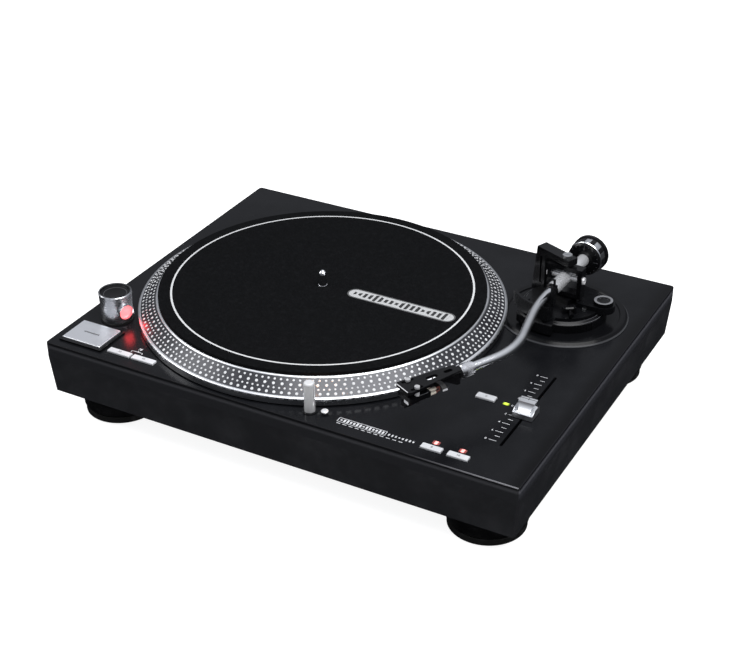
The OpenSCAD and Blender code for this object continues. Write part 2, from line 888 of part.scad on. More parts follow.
module target_lamp() {
    color("#e4e5e7") translate([lamp_x, lamp_y, deck_z]) difference() {
        rotate_extrude() polygon([[0, -lamp_below], [lamp_r, -lamp_below], [lamp_r, lamp_h - 1.2],
                                  [lamp_r - 0.5, lamp_h - 0.3], [lamp_r - 1.4, lamp_h], [0, lamp_h]]);
        translate([0, lamp_r + 1.5, 0]) box(5, 8, lens_low, lens_high);
    }
}

module lamp_lens() {
    color("#ffb060") translate([lamp_x, lamp_y, deck_z]) intersection() {
        rod(lamp_r - 0.3, lens_low + 0.05, lens_high - 0.05);
        translate([0, lamp_r + 1.55, 0]) box(4.9, 8, lens_low, lens_high);
    }
}

module lamp_release_button() {
    color("#dcdee0") translate([release_x, release_y, deck_z]) {
        rotate_extrude() polygon([[0, release_up - 1.6], [release_r, release_up - 1.6],
            [release_r, release_up - 1], [release_r - 0.8, release_up - 0.3],
            [release_r - 2, release_up], [0, release_up]]);
        rod(release_stem_r, -deck_t - 5, release_up - 1);
        rod(release_r, -deck_t - gap - 1.5, -deck_t - gap);
    }
}

// ---- rear connections ----

module jack_panel() {
    // Recessed pan with the jacks at its bottom
    color("#1c1d20") difference() {
        translate([pan_x, 0, 0]) {
            difference() {
                translate([0, pan_back + (pan_depth - pan_wall) / 2, 0])
                    box(pan_w + 2 * pan_wall, pan_depth + pan_wall, pan_low - pan_wall + 0.2, pan_high + pan_wall - 0.2);
                translate([0, inner_y, 0]) box(pan_w, 2 * pan_depth, pan_low, pan_high);
            }
        }
        for (i = [0, 1]) translate([jack_x + i * jack_pitch, 0, jack_z])
            rod_y(jack_r + gap, pan_back - pan_wall - 1, pan_back + 1);
        translate([terminal_x, 0, jack_z]) rod_y(2 + gap, pan_back - pan_wall - 1, pan_back + 1);
        translate([switch_x, pan_back, jack_z]) cube([switch_slot, 3 * pan_wall, knob_d + 2 * gap], center = true);
    }
}

module rca_jacks() {
    color("#c9a24a") for (i = [0, 1]) translate([jack_x + i * jack_pitch, 0, jack_z]) {
        rod_y(jack_r, pan_back - pan_wall - 6, pan_back + 11);
        rod_y(6.4, pan_back, pan_back + 1.6);
        rod_y(6.4, pan_back - pan_wall - 2, pan_back - pan_wall);
    }
}

module ground_terminal() {
    color("#c0c2c4") translate([terminal_x, 0, jack_z]) {
        rod_y(2, pan_back - pan_wall - 4, pan_back + 9.5);
        rod_y(4.5, pan_back, pan_back + 1.5);
        difference() {
            rod_y(5, pan_back + 2.5, pan_back + 8.5);
            for (i = [0:17]) rotate([0, i * 20, 0]) translate([5.2, 0, 0])
                rod_y(0.45, pan_back + 2, pan_back + 9);
        }
        rod_y(3.2, pan_back - pan_wall - 2, pan_back - pan_wall);
    }
}

module line_switch() {
    // Slide knob with the plate that keeps it behind the panel
    color("#e8e8e8") translate([switch_x - (switch_slot - knob_w) / 2 + gap, 0, jack_z]) {
        translate([0, pan_back, 0]) cube([knob_w, 8, knob_d], center = true);
        translate([0, pan_back - pan_wall - 1.3, 0]) cube([knob_w + 4, 2, knob_d + 3], center = true);
    }
}

module power_inlet() {
    color("#0f1012") translate([inlet_x, 0, inlet_z]) {
        difference() {
            translate([0, inner_y - inlet_body / 2, 0])
                cube([inlet_w + 2 * inlet_rim, inlet_body, inlet_h + 1.4 * inlet_rim], center = true);
            translate([0, inner_y, 0]) cube([inlet_w, 2 * inlet_depth, inlet_h], center = true);
        }
        for (p = [[-7, -1.5], [0, 2.5], [7, -1.5]]) translate([p.x, inner_y - inlet_depth + 4, p.y])
            cube([2, 10, 4], center = true);
    }
}

// ---- platter ----

module platter() {
    // Cast dish: mat bed, sloping strobe rim, skirt and hub
    color("#b9bbbe") at_platter() rotate_extrude($fn = 192) polygon([
        [shaft_low_r + run_fit / 2, hub_z], [hub_r, hub_z], [hub_r, bed_z - platter_t],
        [bed_r - 5, bed_z - platter_t], [platter_r - 5, deck_z + rim_low - 1.5],
        [platter_r - 5, deck_z + platter_gap], [platter_r, deck_z + platter_gap],
        [platter_r, deck_z + rim_low], [platter_r - 1.8, deck_z + rim_low + 0.5],
        [bed_r + 0.4, bed_z - 0.4], [bed_r - 0.2, bed_z], [shaft_low_r + run_fit / 2, bed_z]]);
}

module spindle() {
    color("#d4d5d6") at_platter() rotate_extrude() polygon([
        [0, housing_bottom + housing_floor + gap], [shaft_low_r, housing_bottom + housing_floor + gap],
        [shaft_low_r, mat_z + mat_t], [spindle_r, mat_z + mat_t], [spindle_r, spindle_top - 3.4], [spindle_r - 0.5, spindle_top - 1.8],
        [spindle_r - 1.5, spindle_top - 0.6], [spindle_r - 2.6, spindle_top], [0, spindle_top]]);
}

module rotor_magnet() {
    color("#4a4c50") at_platter() difference() {
        rod(magnet_in + magnet_t, bed_z - platter_t - magnet_h, bed_z - platter_t);
        rod(magnet_in, bed_z - platter_t - magnet_h - 1, bed_z);
    }
}

module slipmat() {
    color("#1d1e20") at_platter() difference() {
        rod(mat_r, mat_z, mat_z + mat_t);
        rod(shaft_low_r + gap, mat_z - 1, mat_z + mat_t + 1);
    }
}

// ---- tonearm base ----

module arm_base_flange() {
    // Bevelled flange with its bearing boss, cut back where the platter turns over it
    color("#18191b") difference() {
        at_pivot() rotate_extrude($fn = 144) polygon([
            [spigot_r + run_fit, boss_bottom], [boss_r, boss_bottom], [boss_r, 0],
            [flange_r, 0], [flange_r, flange_rim], [flange_bevel_r, flange_lip - 0.5],
            [flange_bevel_r - 1.5, flange_lip], [flange_inner_r, flange_lip],
            [flange_inner_r - 0.8, flange_floor], [spigot_r + run_fit, flange_floor]]);
        at_platter() rod(platter_r + platter_gap, deck_z + flange_rim, deck_z + 2 * flange_lip);
    }
}

module height_ring() {
    // Turning collar with finger ribs
    color("#232427") at_pivot() {
        rotate_extrude($fn = 144) polygon([
            [ring_in, flange_floor + gap], [ring_r, flange_floor + gap], [ring_r, ring_top - 2],
            [ring_r - 1, ring_top - 1.4], [ring_r - 3.4, ring_top], [ring_in, ring_top]]);
        for (a = [-64:4:-28]) rotate([0, 0, a]) translate([ring_r, 0, 0])
            box(1.2, 1.1, flange_floor + 1, ring_top - 2.2);
    }
}

module arm_platform() {
    // Rising platform that carries the arm, its rest, lifter and controls
    color("#1b1c1f") difference() {
        union() {
            at_pivot() {
                rod(spigot_r, spigot_bottom, platform_top - 6);
                rod(platform_r, platform_top - 8, platform_top);
            }
            base_frame() {
                rotate([0, 0, lobe_from]) rotate_extrude(angle = lobe_to - lobe_from) polygon([
                    [platform_r - 3, lobe_z], [ring_r + 1, lobe_z], [ring_r + 1, skirt_z],
                    [lobe_r, skirt_z], [lobe_r, platform_top - 1], [lobe_r - 1, platform_top],
                    [platform_r - 3, platform_top]]);
                rotate([0, 0, cue_deg]) translate([cue_at, 0, 0]) for (s = [-1, 1])
                    translate([0, s * (cue_hub_l / 2 + gap + 1), 0])
                        box(6, 2, platform_top - 1, cue_up + 2.4);
            }
            at_pivot() {
                translate([anti_at.x, anti_at.y, 0]) rod(anti_house_r, lobe_z, anti_house_top);
                translate([(anti_at.x + 14) / 2, anti_at.y, 0])
                    box(anti_at.x - 14, 2 * anti_house_r, lobe_z, anti_house_top);
            }
        }
        at_pivot() translate([anti_at.x, anti_at.y, 0])
            rod(anti_shaft_r + run_fit, lobe_z + 1, anti_house_top + 1);
        base_frame() {
            rotate([0, 0, lifter_post_deg]) translate([lifter_post_at, 0, 0])
                rod(lifter_post_r + run_fit, skirt_z - 1, platform_top + 1);
            rotate([0, 0, cue_deg]) translate([cue_at, 0, cue_up]) rod_y(cue_axle_r + run_fit, -10, 10);
        }
    }
}

module arm_rest_post() {
    // Post and cradle, open towards the platter
    color("#141517") {
        base_frame() translate([rest_at, 1.5, 0]) {
            rod(4.4, platform_top, arm_h - tube_r - gap - rest_wall + 0.5);
            rod(5.4, platform_top, platform_top + 2.5);
        }
        arm_frame() translate([rest_at, 0, 0]) {
            translate([0, (rest_wall + tube_r + gap - 5) / 2, 0])
                box(rest_l, rest_wall + tube_r + gap + 5, -tube_r - gap - rest_wall, -tube_r - gap);
            translate([0, tube_r + gap + rest_wall / 2, 0])
                box(rest_l, rest_wall, -tube_r - gap - 1, clip_at.y - clip_hub_r - gap);
            for (s = [-1, 1]) translate([s * (rest_l / 2 - 1), clip_at.x, 0]) difference() {
                box(2, rest_wall + 0.6, clip_at.y - clip_hub_r - 2, clip_at.y + 2);
                translate([0, 0, clip_at.y]) rod_x(1 + run_fit, -2, 2);
            }
        }
    }
}

module rest_clip() {
    // Hook that swings over the resting tube
    color("#2a2b2e") arm_frame() translate([rest_at, clip_at.x, clip_at.y]) {
        rod_x(1, -rest_l / 2 - 0.5, rest_l / 2 + 0.5);
        rod_x(clip_hub_r, -rest_l / 2 + 2 + gap, rest_l / 2 - 2 - gap);
        box(rest_l - 4 - 2 * gap, 1.8, 0, clip_arm);
        translate([0, -1.2, 0]) box(rest_l - 4 - 2 * gap, 3.6, clip_arm - 1.4, clip_arm);
    }
}

module bearing_yoke() {
    // C-shaped bracket open to the right
    color("#121315") yoke_frame() difference() {
        union() {
            hull() {
                translate([-yoke_reach - yoke_t - yoke_flare, -yoke_depth / 2, platform_top])
                    cube([yoke_t + yoke_flare, yoke_depth, 1]);
                translate([-yoke_reach - yoke_t - yoke_flare_top, -yoke_depth / 2, yoke_top - 1])
                    cube([yoke_t + yoke_flare_top, yoke_depth, 1]);
            }
            translate([-yoke_reach - yoke_t, -yoke_depth / 2, platform_top])
                cube([yoke_reach + yoke_t + yoke_right, yoke_depth, yoke_base_t]);
            translate([-yoke_reach - yoke_t, -yoke_depth / 2, yoke_top - yoke_bar_t])
                cube([yoke_reach + yoke_t + yoke_right - 2, yoke_depth, yoke_bar_t]);
        }
        rod(pivot_screw_r + led_fit, yoke_top - yoke_bar_t - 1, yoke_top + 1);
        rod(pin_r + run_fit, arm_h - ring_down - pin_l - gap, yoke_top - yoke_bar_t - 1);
        translate([-yoke_reach - yoke_t / 2, -yoke_depth / 2, 0]) box(4, 2, platform_top + 9, yoke_top - 8);
    }
}

module bearing_screw() {
    color("#c8cacc") at_pivot() difference() {
        union() {
            rod(pivot_screw_r, yoke_top - yoke_bar_t, yoke_top);
            rod(screw_tip_r, arm_h + window_up + gap, yoke_top - 1);
            rod(4.2, yoke_top, yoke_top + 2.3);
        }
        box(9, 1, yoke_top + 1.4, yoke_top + 3);
    }
}

module anti_skate_dial() {
    color("#b6b8bb") at_pivot() translate([anti_at.x, anti_at.y, 0]) {
        difference() {
            rod(anti_r, anti_house_top + gap, anti_house_top + gap + anti_knob_h);
            rod(anti_r - 2, anti_house_top + gap + anti_knob_h - 0.8, anti_house_top + 9);
            for (i = [0:23]) rotate([0, 0, i * 15]) translate([anti_r + 0.3, 0, 0])
                rod(0.6, anti_house_top, anti_house_top + 2.6);
        }
        rod(anti_shaft_r, lobe_z + 1 + gap, anti_house_top + 1);
    }
}

module cue_lever() {
    // Short lever between two ears on the platform
    color("#c2c4c7") base_frame() rotate([0, 0, cue_deg]) translate([cue_at, 0, cue_up]) {
        rod_y(cue_axle_r, -cue_hub_l / 2 - 2, cue_hub_l / 2 + 2);
        rod_y(cue_hub_r, -cue_hub_l / 2, cue_hub_l / 2);
        rod_x(1.2, 1.5, 8);
        rod_x(1.9, 7.5, 12);
    }
}

module cue_lifter() {
    // Curved rest bar on its lifting piston
    color("#26272a") base_frame() {
        rotate([0, 0, lifter_post_deg]) translate([lifter_post_at, 0, 0])
            rod(lifter_post_r, skirt_z + 1, lifter_top - 2);
        rotate([0, 0, lifter_post_deg]) translate([(lifter_r + lifter_post_at) / 2, 0, 0])
            box(lifter_r - lifter_post_at, 4, lifter_top - lifter_h + 2, lifter_top - 3);
        rotate([0, 0, lifter_from]) rotate_extrude(angle = lifter_to - lifter_from)
            translate([lifter_r - lifter_w / 2, lifter_top - lifter_h]) square([lifter_w, lifter_h]);
    }
}

// ---- tonearm ----

module gimbal_ring() {
    // Upright frame round the arm, turning on the vertical bearing
    color("#151618") arm_frame() difference() {
        union() {
            box(ring_depth, 2 * ring_half, -ring_down, ring_up);
            rod(pin_r, -ring_down - pin_l, -ring_down + 1);
        }
        rod(screw_tip_r + run_fit, window_up - 1, ring_up + 1);
        translate([-ring_depth, -ring_window, -window_down])
            cube([2 * ring_depth, 2 * ring_window, window_down + window_up]);
        rod_y(trunnion_r + run_fit, -ring_half - 1, ring_half + 1);
    }
}

module arm_pivot_shaft() {
    // Bearing barrel with its trunnions and the stub for the counterweight
    color("#cfd1d4") arm_frame() difference() {
        union() {
            rod_x(housing_tube_r, -housing_tube_back, housing_tube_front);
            rod_x(shaft_r, -weight_back - weight_l + 2, -housing_tube_back + 1);
            rod_y(trunnion_r, -ring_half - 0.4, ring_half + 0.4);
        }
        rod_x(tube_r + run_fit, bend_start - 18, housing_tube_front + 1);
    }
}

module arm_tube() {
    // Straights and bends of the S, the straights a hair thinner
    color("#e0e2e4") arm_frame() {
        rod_x(tube_r - hair, bend_start - 17.5, bend_start + 1);
        translate([bend_start, bend_out_r, 0]) rotate([0, 0, -90])
            rotate_extrude(angle = bend_out_deg) translate([bend_out_r, 0]) circle(r = tube_r);
        translate([bend_1.x, bend_1.y, 0]) rotate([0, 0, bend_out_deg])
            rod_x(tube_r - hair, -1, bend_gap + 1);
        translate([bend_centre.x, bend_centre.y, 0]) rotate([0, 0, 90 - offset_deg])
            rotate_extrude(angle = bend_out_deg + offset_deg) translate([bend_in_r, 0]) circle(r = tube_r);
        translate([bend_3.x, bend_3.y, 0]) rotate([0, 0, -offset_deg])
            rod_x(tube_r - hair, -1, tube_last - joint_back);
    }
}

module headshell_nut() {
    // Locking collar round the end of the tube
    color("#dadcde") head_frame() difference() {
        union() {
            rod_x(nut_r - 0.7, -nut_l, -nut_l + 2);
            rod_x(nut_r, -nut_l + 2, -1.5);
            rod_x(nut_r - 0.6, -1.5, -gap);
        }
        rod_x(tube_r + run_fit, -nut_l - 1, 1);
        for (i = [0:29]) rotate([i * 12, 0, 0]) translate([0, 0, nut_r + 0.25])
            rod_x(0.4, -nut_l + 3, -nut_l + 8);
    }
}

module headshell() {
    // Tapered plate with screw slots, keeled down to its round plug
    color("#131416") head_frame() difference() {
        union() {
            rod_x(tube_r, -joint_back, 1);
            rod_x(plug_r, 0, neck_at + 0.2);
            translate([0, 0, plate_low]) linear_extrude(plate_t) polygon([
                [neck_at, -neck_w / 2], [headshell_l - nose, -headshell_w / 2],
                [headshell_l, -headshell_w / 2 + nose], [headshell_l, headshell_w / 2 - nose],
                [headshell_l - nose, headshell_w / 2], [neck_at, neck_w / 2]]);
            hull() {
                translate([neck_at + 1.5, 0, 0]) box(3, keel_w, keel_low, plate_low + 0.5);
                translate([keel_end - 0.5, 0, 0]) box(1, keel_w, plate_low - 0.5, plate_low + 0.5);
            }
        }
        for (s = [-1, 1]) translate([(slot_front + slot_back) / 2, s * screw_pitch / 2, 0])
            slot(slot_front - slot_back, slot_r, plate_low - 1, plate_top + 1);
        translate([neck_at + 9, 0, 0]) slot(8, 1.8, plate_low - 1, plate_top + 1);
        translate([headshell_l - window_back, 0, 0]) slot(window_l, 2.2, plate_low - 1, plate_top + 1);
    }
}

module finger_lift() {
    // Bowed tab that comes out from under the plate's outer side
    color("#2a2b2e") head_frame() translate([lift_x, shell_half(lift_x + lift_w / 2) + gap, plate_low]) {
        translate([0, -1.2, 0]) box(lift_w, 2.4 + 2 * lift_t, -lift_t, 0);
        translate([0, lift_t / 2, 0]) box(lift_w, lift_t, -lift_t, plate_t - 0.6);
        translate([-lift_w / 2, 0, 0]) rotate([90, 0, 90]) linear_extrude(lift_w) intersection() {
            translate([lift_reach / 3, lift_up - lift_bend]) difference() {
                circle(r = lift_bend, $fn = 120);
                circle(r = lift_bend - lift_t, $fn = 120);
            }
            translate([0, -lift_t / 2]) square([lift_reach, 2 * lift_bend]);
        }
    }
}

module cartridge_body() {
    // Cartridge with screw ears, hung under the plate on a narrower block
    color("#17181a") head_frame() difference() {
        union() {
            translate([cart_front - cart_l / 2, 0, 0]) box(cart_l - 2, cart_neck_w, cart_top - 1, plate_low);
            translate([cart_front - cart_l / 2, 0, 0]) box(cart_l, cart_w, cart_top - cart_ear_t, cart_top);
            hull() {
                translate([cart_front - cart_l / 2, 0, 0])
                    box(cart_l - 2, cart_w - 3, cart_top - cart_ear_t - 0.5, cart_top - cart_ear_t + 0.5);
                translate([cart_front - cart_l / 2 - 1, 0, 0]) box(cart_l - 6, cart_w - 6, cart_low, cart_low + 1);
            }
        }
        for (s = [-1, 1]) translate([cart_screw_x, s * screw_pitch / 2, 0]) {
            rod(screw_shank_r + led_fit, cart_low - 1, cart_top + 1);
            rod(nut_hex_r + gap, cart_low - 1, cart_top - cart_ear_t);
        }
    }
}

module stylus_assembly() {
    // Grip, cantilever and tip
    color("#c8ccd2") head_frame() {
        hull() {
            translate([stylus_x - 5, 0, 0]) box(10, 9, cart_low - 0.6, cart_low);
            translate([stylus_x - 1.6, 0, 0]) box(7, 5, cart_low - 3.6, cart_low - 2.8);
        }
        translate([stylus_x - 6, 0, cart_low - 2.8]) rotate([0, 12, 0]) rod_x(0.45, 2, 6.3);
        translate([stylus_x, 0, 0]) rod(0.5, tip_z, cart_low - 3.3);
    }
}

module headshell_screws() {
    // Two cartridge screws with their spacers and nuts
    color("#d8dadc") head_frame() for (s = [-1, 1])
        translate([cart_screw_x, s * screw_pitch / 2, 0]) {
            rod(screw_shank_r, cart_top - cart_ear_t - 1.8, plate_top + 0.5);
            rod(2.2, plate_top, plate_top + 1.7);
            rod(sleeve_out_r, cart_top, plate_low);
            translate([0, 0, cart_top - cart_ear_t - 1.7]) cylinder(r = nut_hex_r, h = 1.7, $fn = 6);
        }
}

module headshell_leads() {
    // Four short wires from the plate to the cartridge pins
    color("#b04030") head_frame() for (s = [-1, 1]) translate([0, s * lead_y, 0]) {
        for (z = [lead_low, lead_high]) translate([0, 0, z]) {
            rod_x(lead_r, lead_end, cart_back - 0.05);
            rod_x(lead_sleeve_r, cart_back - 8, cart_back - 0.05);
        }
        translate([lead_end, 0, 0]) rod(lead_r, lead_low - lead_r, plate_low - 0.05);
    }
}

module force_dial() {
    // Numbered ring in front of the counterweight
    color("#101113") arm_frame() difference() {
        rotate([0, -90, 0]) translate([0, 0, weight_back]) rotate_extrude() polygon([
            [shaft_r + run_fit, 0.6], [9, 0], [weight_r - 1.6, 0.6], [weight_r - 0.3, 1.8],
            [weight_r - 0.3, 3.6], [shaft_r + run_fit, 3.6]]);
    }
}

module counterweight() {
    color("#c0c2c5") arm_frame() rotate([0, -90, 0]) translate([0, 0, weight_back])
        rotate_extrude() polygon([
            [shaft_r + run_fit, 3.6 + gap], [weight_r - 0.6, 3.6 + gap], [weight_r, 4.6],
            [weight_r, weight_l - 5.2], [weight_r + 1.2, weight_l - 4.6],
            [weight_r + 1.2, weight_l - 1], [weight_r + 0.2, weight_l],
            [shaft_r + run_fit, weight_l]]);
}

top_plate();
base_tray();
case_screws();
foot_cups();
foot_pads();
motor_board();
motor_stator();
bearing_housing();
main_board();
transformer();
control_boards();
pitch_fader_module();
start_stop_bezel();
led_green();
led_red();
jack_panel();
rca_jacks();
ground_terminal();
power_inlet();
line_switch();
lamp_sleeve();
strobe_tower();
strobe_lens();
power_dial();
start_stop_button();
button_33();
button_45();
reset_button();
range_button_a();
range_button_b();
pitch_slider();
target_lamp();
lamp_lens();
lamp_release_button();
platter();
spindle();
rotor_magnet();
slipmat();
arm_base_flange();
height_ring();
arm_platform();
arm_rest_post();
bearing_yoke();
bearing_screw();
anti_skate_dial();
cue_lever();
cue_lifter();
rest_clip();
gimbal_ring();
arm_pivot_shaft();
arm_tube();
headshell_nut();
headshell();
finger_lift();
cartridge_body();
stylus_assembly();
headshell_screws();
headshell_leads();
force_dial();
counterweight();
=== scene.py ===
"""Dresses a direct-drive turntable: deck, platter, felt mat, S-shaped tonearm and controls."""

import json
import logging
import math
from dataclasses import dataclass, field
from enum import Enum
from typing import Callable, ClassVar, Dict, Iterable, Optional, Sequence, Tuple, Union

import bpy
from mathutils import Matrix, Vector


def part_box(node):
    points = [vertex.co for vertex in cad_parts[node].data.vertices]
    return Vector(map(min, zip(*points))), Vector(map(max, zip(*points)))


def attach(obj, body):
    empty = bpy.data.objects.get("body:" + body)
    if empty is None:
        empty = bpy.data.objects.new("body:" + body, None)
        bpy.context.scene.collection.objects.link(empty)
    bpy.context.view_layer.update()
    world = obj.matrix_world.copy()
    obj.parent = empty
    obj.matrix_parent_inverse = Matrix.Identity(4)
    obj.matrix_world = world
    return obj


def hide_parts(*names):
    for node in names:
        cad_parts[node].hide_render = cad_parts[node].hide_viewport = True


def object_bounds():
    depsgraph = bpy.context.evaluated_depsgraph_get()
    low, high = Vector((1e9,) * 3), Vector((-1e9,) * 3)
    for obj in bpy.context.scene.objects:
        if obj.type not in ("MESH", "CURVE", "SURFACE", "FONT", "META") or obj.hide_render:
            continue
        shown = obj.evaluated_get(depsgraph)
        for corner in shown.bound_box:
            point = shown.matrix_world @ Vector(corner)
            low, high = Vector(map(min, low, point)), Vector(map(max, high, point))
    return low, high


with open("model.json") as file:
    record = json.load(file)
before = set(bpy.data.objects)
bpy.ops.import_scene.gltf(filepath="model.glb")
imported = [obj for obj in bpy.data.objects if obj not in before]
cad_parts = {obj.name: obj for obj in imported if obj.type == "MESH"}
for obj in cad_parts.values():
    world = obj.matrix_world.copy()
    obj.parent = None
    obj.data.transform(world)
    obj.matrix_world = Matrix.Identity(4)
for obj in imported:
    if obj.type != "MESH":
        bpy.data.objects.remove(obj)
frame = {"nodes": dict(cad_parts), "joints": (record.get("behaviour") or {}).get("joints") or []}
CAD_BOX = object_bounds()

logging.basicConfig(level=logging.INFO, format="%(message)s")
LOG = logging.getLogger("turntable")

Piece = bpy.types.Object
Point = Tuple[float, float, float]
Colour = Tuple[float, float, float]
JOINTS = {joint["name"]: joint for joint in frame["joints"]}
MM = 0.001
INK = 0.06


# ---------------------------------------------------------------- places

def middle(node: str) -> Vector:
    """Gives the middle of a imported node's box."""
    low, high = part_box(node)
    return (low + high) / 2


def crown(node: str) -> Vector:
    """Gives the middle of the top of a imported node's box."""
    at = middle(node)
    at.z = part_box(node)[1].z
    return at


def shifted(at: Vector, x: float = 0.0, y: float = 0.0, z: float = 0.0) -> Vector:
    """Gives a point moved by millimetres."""
    return at + Vector((x, y, z)) * MM


def moved(x: float, y: float, z: float) -> Matrix:
    """Gives the shift by millimetres."""
    return Matrix.Translation(Vector((x, y, z)) * MM)


def turned(degrees: float, axis: str = "Z") -> Matrix:
    """Gives the turn about an axis."""
    return Matrix.Rotation(math.radians(degrees), 4, axis)


def facing(way: Vector) -> Matrix:
    """Gives the turn that points an upright piece's top along a direction."""
    return way.to_track_quat("Z", "Y").to_matrix().to_4x4()


@dataclass(frozen=True)
class Axes:
    """A level frame: an origin and a forward direction."""

    origin: Vector
    forward: Vector

    @classmethod
    def along(cls, joint: str, origin: Optional[Vector] = None) -> "Axes":
        """Makes the frame that looks along a packed joint's axis.

        Args:
            joint: The joint's name.
            origin: The frame's origin, if it isn't the joint's own place.

        Returns:
            The frame.
        """
        ahead = Vector(JOINTS[joint]["axis"])
        ahead.z = 0
        return cls(Vector(JOINTS[joint]["pos_m"]) if origin is None else origin, ahead.normalized())

    @property
    def side(self) -> Vector:
        """The level direction to the left of forward."""
        return Vector((-self.forward.y, self.forward.x, 0))

    @property
    def degrees(self) -> float:
        """The turn of forward from +X."""
        return math.degrees(math.atan2(self.forward.y, self.forward.x))

    def at(self, u: float, v: float, w: float = 0.0) -> Vector:
        """Gives the point u forward, v to the side and w up, in millimetres."""
        return self.origin + (self.forward * u + self.side * v + Vector((0, 0, 1)) * w) * MM

    def matrix(self, u: float = 0.0, v: float = 0.0, w: float = 0.0) -> Matrix:
        """Gives the frame's matrix at a point, in millimetres."""
        return Matrix.Translation(self.at(u, v, w)) @ turned(self.degrees)


@dataclass(frozen=True)
class Plan:
    """Where the deck's main axes lie, in metres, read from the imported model."""

    top: Vector
    half_x: float
    half_y: float
    spindle: Vector
    pivot: Vector
    arm: Axes
    head: Axes

    @classmethod
    def read(cls) -> "Plan":
        """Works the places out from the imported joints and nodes.

        Returns:
            The plan of the deck.
        """
        low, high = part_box("top_plate")
        pivot = Vector(JOINTS["arm_swing"]["pos_m"])
        return cls(top=crown("top_plate"), half_x=(high.x - low.x) / MM / 2, half_y=(high.y - low.y) / MM / 2,
                   spindle=Vector(JOINTS["platter_spin"]["pos_m"]), pivot=pivot,
                   arm=Axes.along("weight_slide", pivot), head=Axes.along("headshell_nut_turn"))

    def on_deck(self, at: Vector, x: float = 0.0, y: float = 0.0, z: float = 0.0) -> Vector:
        """Gives the point of the deck's top under or over a point, moved by millimetres."""
        return shifted(Vector((at.x, at.y, self.top.z)), x, y, z)


# ---------------------------------------------------------------- shader wiring

def arithmetic(operation: str, swapped: bool = False) -> Callable[..., "Wire"]:
    """Makes a wire's method that adds one Math node.

    Args:
        operation: The node's operation.
        swapped: Whether the other value comes first.

    Returns:
        The method.
    """
    def method(wire: "Wire", *others: Union["Wire", float]) -> "Wire":
        """Adds the node and gives its result."""
        values = (*others, wire) if swapped else (wire, *others)
        return wire.graph.node("ShaderNodeMath", {"operation": operation}, dict(enumerate(values)))
    return method


class Wire:
    """A shader socket with arithmetic: an expression on wires adds its Math nodes."""

    def __init__(self, graph: "Graph", socket: bpy.types.NodeSocket) -> None:
        """Keeps the socket and the graph that it belongs to."""
        self.graph = graph
        self.socket = socket

    __add__ = __radd__ = arithmetic("ADD")
    __sub__ = arithmetic("SUBTRACT")
    __rsub__ = arithmetic("SUBTRACT", swapped=True)
    __mul__ = __rmul__ = arithmetic("MULTIPLY")
    __truediv__ = arithmetic("DIVIDE")
    __lt__ = arithmetic("LESS_THAN")
    __gt__ = arithmetic("GREATER_THAN")
    __abs__ = arithmetic("ABSOLUTE")
    root = arithmetic("SQRT")
    sine = arithmetic("SINE")
    most = arithmetic("MAXIMUM")
    cycle = arithmetic("FLOORED_MODULO")

    def ramp(self, low: float, high: float) -> "Wire":
        """Gives a smooth step from 0 at low to 1 at high."""
        return self.graph.node("ShaderNodeMapRange", {"interpolation_type": "SMOOTHSTEP"},
                               {"Value": self, "From Min": low, "From Max": high}, "Result")


